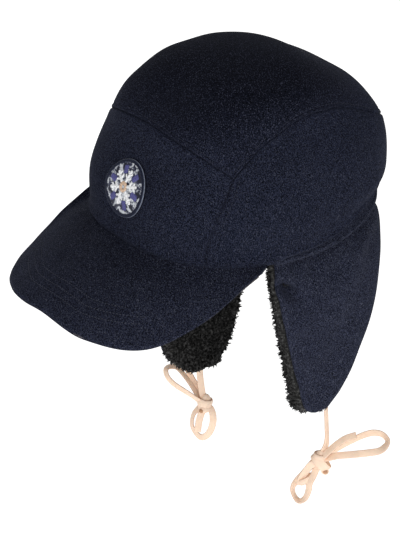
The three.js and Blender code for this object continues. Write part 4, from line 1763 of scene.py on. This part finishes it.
class Facing(Enum):
    """Directions used to lay a lace: the side that shows most, and the level line across it."""

    VIEW = (0.702, -0.5486, 0.454)
    ACROSS = (0.6157, 0.7880, 0.0)
    OUT = (0.7880, -0.6157, 0.0)


def flat_section(around: Array, width: float, thick: float) -> tuple[Array, Array]:
    """Section of a flat lace with round edges.

    Args:
        around: share of the turn round it.
        width: the lace's width.
        thick: the lace's thickness.

    Returns:
        The distances from its middle, across the flat side and through it.
    """
    roll = around * 2 * math.pi
    across = np.sign(np.cos(roll)) * np.abs(np.cos(roll)) ** 0.45 * width / 2
    through = np.sign(np.sin(roll)) * np.abs(np.sin(roll)) ** 0.7 * thick / 2
    return across, through


@dataclass(frozen=True)
class LaceRun:
    """One length of lace, as [across, out, up, turn] rows from the middle of its knot.

    The turn is how far the flat side is turned from the side that shows most, in degrees.
    """

    name: str
    rows: tuple
    nodes: tuple
    far_end: str


@dataclass
class Tie:
    """One leather lace with its knot and bow: a strand, the bow and the lower loop."""

    name: str
    # Middle of the knot in the cap's frame; all other places are counted from it
    middle: tuple
    runs: tuple
    # Turns of lace round the knot: centre, half sizes, axis and width of each
    wraps: tuple
    # Filled middle of the knot: its half sizes and its lean in degrees
    core: tuple
    # Middle of a small dark ball in the hole of a fold of the knot: painted shadow
    shade_ball: tuple
    width: float = 5.3
    thick: float = 1.25
    shade_ball_radius: float = 1.7
    wrap_arch: float = 0.5
    places: int = 72
    wrap_places: int = 48
    section_places: int = 16

    def world(self, rows: Array) -> Array:
        """Places in the cap's frame.

        Args:
            rows: across, out and up from the middle of the knot.

        Returns:
            The places in millimetres.
        """
        across, out = np.array(Facing.ACROSS.value), np.array(Facing.OUT.value)
        up = np.array([0.0, 0.0, 1.0])
        return np.array(self.middle) + rows[:, :1] * across + rows[:, 1:2] * out + rows[:, 2:3] * up

    def smooth_route(self, rows: Sequence[Sequence[float]]) -> tuple[Array, Array]:
        """A smooth curve through the rows.

        Args:
            rows: across, out, up and turn.

        Returns:
            The places in millimetres, evenly spaced, and the turn at each in degrees.
        """
        table = np.array(rows, float)
        steps = np.linalg.norm(np.diff(table[:, :3], axis=0), axis=1)
        knots = np.concatenate([[0], np.cumsum(steps**0.5)])
        fine = np.linspace(0, knots[-1], self.places * 8)
        values = np.stack([column_at(knots, table[:, k], fine) for k in range(4)], axis=1)
        run = np.concatenate([[0], np.cumsum(np.linalg.norm(np.diff(values[:, :3], axis=0), axis=1))])
        even = np.linspace(0, run[-1], self.places)
        values = np.stack([np.interp(even, run, values[:, k]) for k in range(4)], axis=1)
        return self.world(values), values[:, 3]

    def ribbon(self, name: str, route: Array, turn: Array) -> bpy.types.Object:
        """Sweeps the lace's flat section along a route.

        Args:
            name: the object's name.
            route: evenly spaced places in millimetres.
            turn: turn of the flat side at each, in degrees.

        Returns:
            The lace as one object.
        """
        tangent = np.gradient(route, axis=0)
        tangent /= np.linalg.norm(tangent, axis=1, keepdims=True)
        view = np.array(Facing.VIEW.value)
        facing = view - tangent * (tangent @ view)[:, None]
        facing /= np.maximum(np.linalg.norm(facing, axis=1, keepdims=True), TINY)
        level = np.cross(tangent, facing)
        angle = np.radians(turn)[:, None]
        flat = np.cos(angle) * level + np.sin(angle) * facing
        through = np.cross(tangent, flat)
        last = len(route) - 1
        total = np.linalg.norm(np.diff(route, axis=0), axis=1).sum()

        def place(along: Array, around: Array) -> Array:
            """Point on the lace's surface.

            Args:
                along: share of its length.
                around: share of the turn round its section.

            Returns:
                The places in millimetres.
            """
            index = np.rint(along * last).astype(int)
            across, up = flat_section(around, self.width, self.thick)
            return route[index] + flat[index] * across[:, None] + through[index] * up[:, None]

        return placed_grid(name, last, self.section_places, place, wraps=True, lay=(total * MM, 1.0))

    def build_knot(self) -> bpy.types.Object:
        """Makes the knot: a filled middle, a small dark ball of painted shadow in the hole of a fold, and
        the lace wrapped round it, as one mesh.

        Returns:
            The knot.
        """
        bm = bmesh.new()
        bmesh.ops.create_uvsphere(bm, u_segments=28, v_segments=18, radius=1.0)
        uv = bm.loops.layers.uv.new("lay")
        for face in bm.faces:
            for loop in face.loops:
                loop[uv].uv = (0.0, 0.25)
        half_across, half_out, half_up, lean = self.core
        cosine, sine = math.cos(math.radians(lean)), math.sin(math.radians(lean))
        local = np.array([vert.co[:] for vert in bm.verts]) * (half_across, half_out, half_up)
        across = local[:, 0] * cosine - local[:, 2] * sine
        up = local[:, 0] * sine + local[:, 2] * cosine
        turned = np.stack([across, local[:, 1], up], axis=1)
        for vert, point in zip(bm.verts, self.world(turned) * MM):
            vert.co = point
        # Painted shadow: the ball's UV is not set, so it takes the leather's dark edge colour
        radius = self.shade_ball_radius * MM
        shade_ball_verts = bmesh.ops.create_uvsphere(bm, u_segments=12, v_segments=8, radius=radius)["verts"]
        shade_ball = self.world(np.array([self.shade_ball], float))[0] * MM
        bmesh.ops.translate(bm, vec=Vector(shade_ball), verts=shade_ball_verts)
        for index, (centre, reach, axis, width) in enumerate(self.wraps):
            route = self.wrap_route(np.array(centre, float), reach, np.array(axis, float))
            part = self.wrap_band(f"wrap_{index}", route, np.array(axis, float), width)
            bm.from_mesh(part.data)
            bpy.data.objects.remove(part)
        return object_from(bm, f"tie_{self.name}_wrapped_knot")

    def wrap_route(self, centre: Array, reach: tuple, axis: Array) -> Array:
        """Closed loop of one wrap.

        Args:
            centre: its middle, in the tie's own directions.
            reach: its half size to the side and outward.
            axis: the axis it goes round.

        Returns:
            Rows of across, out and up.
        """
        axis = axis / np.linalg.norm(axis)
        out = np.array([0.0, 1.0, 0.0])
        out = out - axis * (axis @ out)
        out /= np.linalg.norm(out)
        side = np.cross(axis, out)
        turn = np.linspace(0, 2 * math.pi, self.wrap_places, endpoint=False)
        beside, outward_by = (reach[0] * np.cos(turn))[:, None], (reach[1] * np.sin(turn))[:, None]
        return centre + side * beside + out * outward_by

    def wrap_band(self, name: str, rows: Array, axis: Array, width: float) -> bpy.types.Object:
        """Band of lace along a wrap, its flat side against the knot.

        Args:
            name: the object's name.
            rows: the wrap's closed loop.
            axis: the axis it goes round.
            width: its width.

        Returns:
            The band.
        """
        axis = axis / np.linalg.norm(axis)
        centre = rows.mean(axis=0)
        outward_way = rows - centre
        outward_way /= np.linalg.norm(outward_way, axis=1, keepdims=True)
        count = len(rows)

        def place(along: Array, around: Array) -> Array:
            """Point on the band's surface.

            Args:
                along: share of the loop.
                around: share of the turn round its section.

            Returns:
                The places in millimetres.
            """
            index = np.rint(along * count).astype(int) % count
            across, up = flat_section(around, width, self.thick)
            arch = self.wrap_arch * (1 - (across / (width / 2)) ** 2)
            local = rows[index] + axis * across[:, None] + outward_way[index] * (up + arch)[:, None]
            return self.world(local)

        return placed_grid(name, count, self.section_places, place, wraps=True, lay=(0.03, 1.0))

    def build(self, finishes: Finishes) -> None:
        """Args:
            finishes: the cap's materials.
        """
        knot = settle(self.build_knot(), "leather_lace", finishes.leather, f"tie_{self.name}_knot")
        for run in self.runs:
            route, turn = self.smooth_route(run.rows)
            lace = self.ribbon(f"tie_{self.name}_{run.name}_lace", route, turn)
            nodes = [f"tie_{self.name}_{kind}" for kind in run.nodes]
            settle(lace, "leather_lace", finishes.leather, *nodes)


LEFT_TIE = Tie(
    name="left",
    middle=(81.4, 14.7, -178.0),
    core=(4.7, 3.7, 8.6, -14),
    wraps=(
        ((1.4, 0.2, -1.4), (7.4, 3.9), (0.80, 0.0, 0.60), 7.6),
        ((1.0, 0.0, 3.6), (4.3, 3.8), (0.16, 0.0, 0.99), 4.4),
        ((4.4, 2.2, -8.0), (2.0, 1.7), (0.20, 0.95, 0.20), 2.4),
        ((-8.6, 0.6, -15.6), (6.2, 2.4), (-0.50, 0.0, 0.87), 5.0),
    ),
    shade_ball=(4.4, 2.6, -8.0),
    runs=(
        LaceRun(
            "strand",
            (
                (4.5, -0.4, 42.4, 62), (4.9, -0.3, 34.5, 60), (5.2, -0.1, 27, 58), (5.5, 0, 20, 56),
                (4.8, 0, 12.5, 46), (1.5, 0, 3, 25),
            ),
            ("strand",),
            "knot",
        ),
        LaceRun(
            "bow",
            (
                (1, 1, 1, 40), (6.5, 2.6, 3.2, 30), (13.6, 4.6, 6.3, 20), (24.3, 6.6, 8.6, 12),
                (34.9, 7.4, 10.4, 10), (43.4, 5.6, 11.1, 20), (47.9, 1.6, 13.1, 40), (49.2, -2.6, 15.2, 52),
                (45.5, -7.4, 17.3, 40), (39.1, -9.6, 17.3, 26), (31.7, -10, 14.8, 28), (24.3, -9, 11.3, 38),
                (16.8, -6.6, 7.8, 50), (10.5, -3.8, 4.5, 55), (4.5, -1.2, 0.6, 40), (1, 1.4, -1.2, 20),
                (-2.2, 2.8, -0.6, 12), (-6, 2.8, -2.7, 10), (-9.7, 1.8, -9, 14), (-12.9, 1.0, -15.4, 20),
                (-13.9, 0.8, -20.3, 26),
            ),
            ("bow_loop", "lower_tail"),
            "bare",
        ),
        LaceRun(
            "lower",
            (
                (-1, -0.6, 1, 10), (-4.6, -1.6, -3.4, 12), (-7.6, -2.6, -8.6, 10), (-12.9, -4.4, -16.7, 14),
                (-16.9, -5.8, -22.8, 35), (-18.7, -6, -28.3, 52), (-17.1, -4.4, -33.3, 55),
                (-13.9, -1.2, -35.1, 45), (-9.7, 2.8, -30.4, 45), (-7.4, 4.6, -22.9, 38),
                (-6.7, 4.8, -16.8, 30), (-3.8, 3.6, -10.8, 25), (-1, 1.6, -4, 20), (1.2, 2.2, 0.4, 22),
                (2.5, 3, 4, 30), (6.5, 3.4, 8.9, 34), (12.2, 3.2, 14.6, 32), (19, 2.8, 19.6, 24),
                (26.6, 2.4, 22.2, 20),
            ),
            ("lower_loop", "tail"),
            "bare",
        ),
    ),
)

RIGHT_TIE = Tie(
    name="right",
    middle=(-47.6, 9.8, -187.8),
    core=(4.7, 3.7, 8.4, -8),
    wraps=(
        ((0.2, 0.0, 1.6), (4.7, 3.9), (0.20, 0.0, 0.98), 6.4),
        ((0.6, 0.2, -3.4), (3.8, 3.5), (-0.30, 0.0, 0.95), 4.8),
    ),
    shade_ball=(-2.6, 3.4, -4.4),
    runs=(
        LaceRun(
            "strand",
            (
                (-3.4, 0, 36.4, 30), (-3.8, 0, 29, 28), (-3.3, 0, 21.3, 24), (-2.4, 0, 13.1, 20),
                (-1, 0, 3, 15),
            ),
            ("strand",),
            "knot",
        ),
        LaceRun(
            "bow",
            (
                (-1, 1, 1, 20), (-5, 1.6, 4, 50), (-9.4, 1.8, 7.6, 55), (-15.4, 1.2, 11.6, 50),
                (-23.4, -1.5, 16.2, 48), (-28, -4.6, 20.6, 50), (-29, -7.4, 24.8, 50),
                (-26.4, -9.4, 26, 50), (-23, -9.6, 26, 52), (-19.6, -8, 25.2, 55),
                (-15, -6, 20.4, 55), (-10.8, -4, 15, 55),
                (-7.2, -2.2, 9.6, 50), (-1.6, -0.6, 0.6, 30), (-1.2, 1.6, -3, 10), (-2.6, 3.2, -7, 8),
                (-4.2, 3.6, -13, 8), (-5.4, 3.6, -22.4, 14),
            ),
            ("bow_loop", "lower_tail"),
            "bare",
        ),
        LaceRun(
            "lower",
            (
                (1, 0.6, -1, 10), (4.4, 2.4, -3.2, 14), (6.1, 4, -7.9, 12), (5.9, 4.2, -15.4, 10),
                (2.9, 2.4, -24.4, 14), (-2, -0.8, -29.6, 26), (-6.2, -3.6, -28.2, 50),
                (-9.6, -5, -21.7, 62), (-8.6, -4, -11.9, 60), (-5.3, -2.4, -6, 44), (-1.4, -1.4, -1.4, 30),
                (-0.8, -3.5, 2, 34), (-4, -6, 6.6, 42), (-8, -8.4, 14, 44), (-12, -10.2, 21, 44),
                (-14.6, -11.2, 26.4, 44),
            ),
            ("lower_loop", "tail"),
            "bare",
        ),
    ),
)


@dataclass
class Studio:
    """Camera at the photograph's angle, soft lights and a plain pale floor."""

    distance: float = 3000.0
    pixels_per_mm: float = 1.4
    frame_width: float = 400.0
    frame_height: float = 533.0
    origin_x: float = 234.4
    origin_y: float = 205.2
    sensor: float = 36.0
    floor_below: float = 330.0
    # Lamps: their distance in metres, and name, azimuth, height, size and power of each
    lamp_distance: float = 1.8
    lamps: tuple = (("key", 84, 24, 1.1, 14), ("fill", 15, 12, 1.2, 9), ("back", 250, 25, 1.0, 6))

    def build_camera(self) -> None:
        """Places the camera so that the origin lands on its pixel in a 400 by 533 picture."""
        view = Vector(Facing.VIEW.value).normalized()
        right = Vector(Facing.ACROSS.value).normalized()
        up = view.cross(right)
        data = bpy.data.cameras.new("camera")
        camera = bpy.data.objects.new("camera", data)
        bpy.context.scene.collection.objects.link(camera)
        bpy.context.scene.camera = camera
        data.sensor_fit = "HORIZONTAL"
        data.sensor_width = self.sensor
        data.lens = self.sensor * self.pixels_per_mm * self.distance / self.frame_width
        data.clip_start, data.clip_end = 0.1, 50.0
        across = (self.frame_width / 2 - self.origin_x) / self.pixels_per_mm
        down = (self.frame_height / 2 - self.origin_y) / self.pixels_per_mm
        target = (right * across - up * down) * MM
        camera.location = view * self.distance * MM
        camera.rotation_euler = (target - camera.location).to_track_quat("-Z", "Y").to_euler()

    def soft_light(self, name: str, azimuth: float, height: float, size: float, power: float) -> None:
        """Hangs one soft light, aimed at the cap.

        Args:
            name: the light's name.
            azimuth: degrees round the cap, counted as the camera's are.
            height: degrees over the level.
            size: its diameter in metres.
            power: its power in watts.
        """
        data = bpy.data.lights.new(name, "AREA")
        data.shape = "DISK"
        data.size = size
        data.energy = power
        lamp = bpy.data.objects.new(name, data)
        bpy.context.scene.collection.objects.link(lamp)
        turn, rise = math.radians(azimuth), math.radians(height)
        way = Vector((math.sin(turn) * math.cos(rise), -math.cos(turn) * math.cos(rise), math.sin(rise)))
        lamp.location = way * self.lamp_distance
        lamp.rotation_euler = (Vector((0, 0, -0.02)) - lamp.location).to_track_quat("-Z", "Y").to_euler()

    def build(self) -> None:
        """Builds the lights, the pale surroundings and the floor."""
        scene = bpy.context.scene
        scene.view_settings.view_transform = "Standard"
        world = bpy.data.worlds.new("pale_room")
        world.use_nodes = True
        world.node_tree.nodes["Background"].inputs["Color"].default_value = (1, 1, 1, 1)
        world.node_tree.nodes["Background"].inputs["Strength"].default_value = 0.25
        scene.world = world
        for lamp in self.lamps:
            self.soft_light(*lamp)
        bm = bmesh.new()
        bmesh.ops.create_grid(bm, x_segments=1, y_segments=1, size=6.0)
        bmesh.ops.translate(bm, vec=(0, 0, -self.floor_below * MM), verts=bm.verts)
        floor = object_from(bm, "pale_floor")
        shader = Shader("pale_floor")
        shader.set(Base_Color=(0.8, 0.8, 0.8, 1), Roughness=0.9, Specular_IOR_Level=0.1)
        shader.set(Emission_Color=(1, 1, 1, 1), Emission_Strength=0.78)
        floor.data.materials.append(shader.material)


LEFT_FLAP = Earflap(
    name="left",
    side=1,
    sideways=0.0,
    backward=0.0,
    stretch=1.0,
    spread_front=0.0,
    spread_back=0.0,
    pile_thick=12.0,
    pile_tip_thick=2.4,
    pile_overhang=3.4,
    crease_deep=10.5,
)

RIGHT_FLAP = Earflap(
    name="right",
    side=-1,
    sideways=0.2,
    backward=-0.02,
    stretch=1.12,
    spread_front=13.5,
    spread_back=3.2,
    pile_thick=7.0,
    pile_tip_thick=3.6,
    pile_overhang=1.4,
    crease_deep=2.5,
)


def main() -> None:
    """Builds the cap, piece by piece."""
    logging.basicConfig(level=logging.INFO, format="%(name)s: %(message)s")
    Studio().build_camera()
    finishes = Finishes()
    for tie in (LEFT_TIE, RIGHT_TIE):
        tie.build(finishes)
    Crown().build(finishes)
    Peak().build(finishes)
    RimBand().build(finishes)
    for flap in (LEFT_FLAP, RIGHT_FLAP):
        flap.build(finishes)
    Badge().build(finishes)
    Studio().build()


if __name__ == "__main__":
    main()
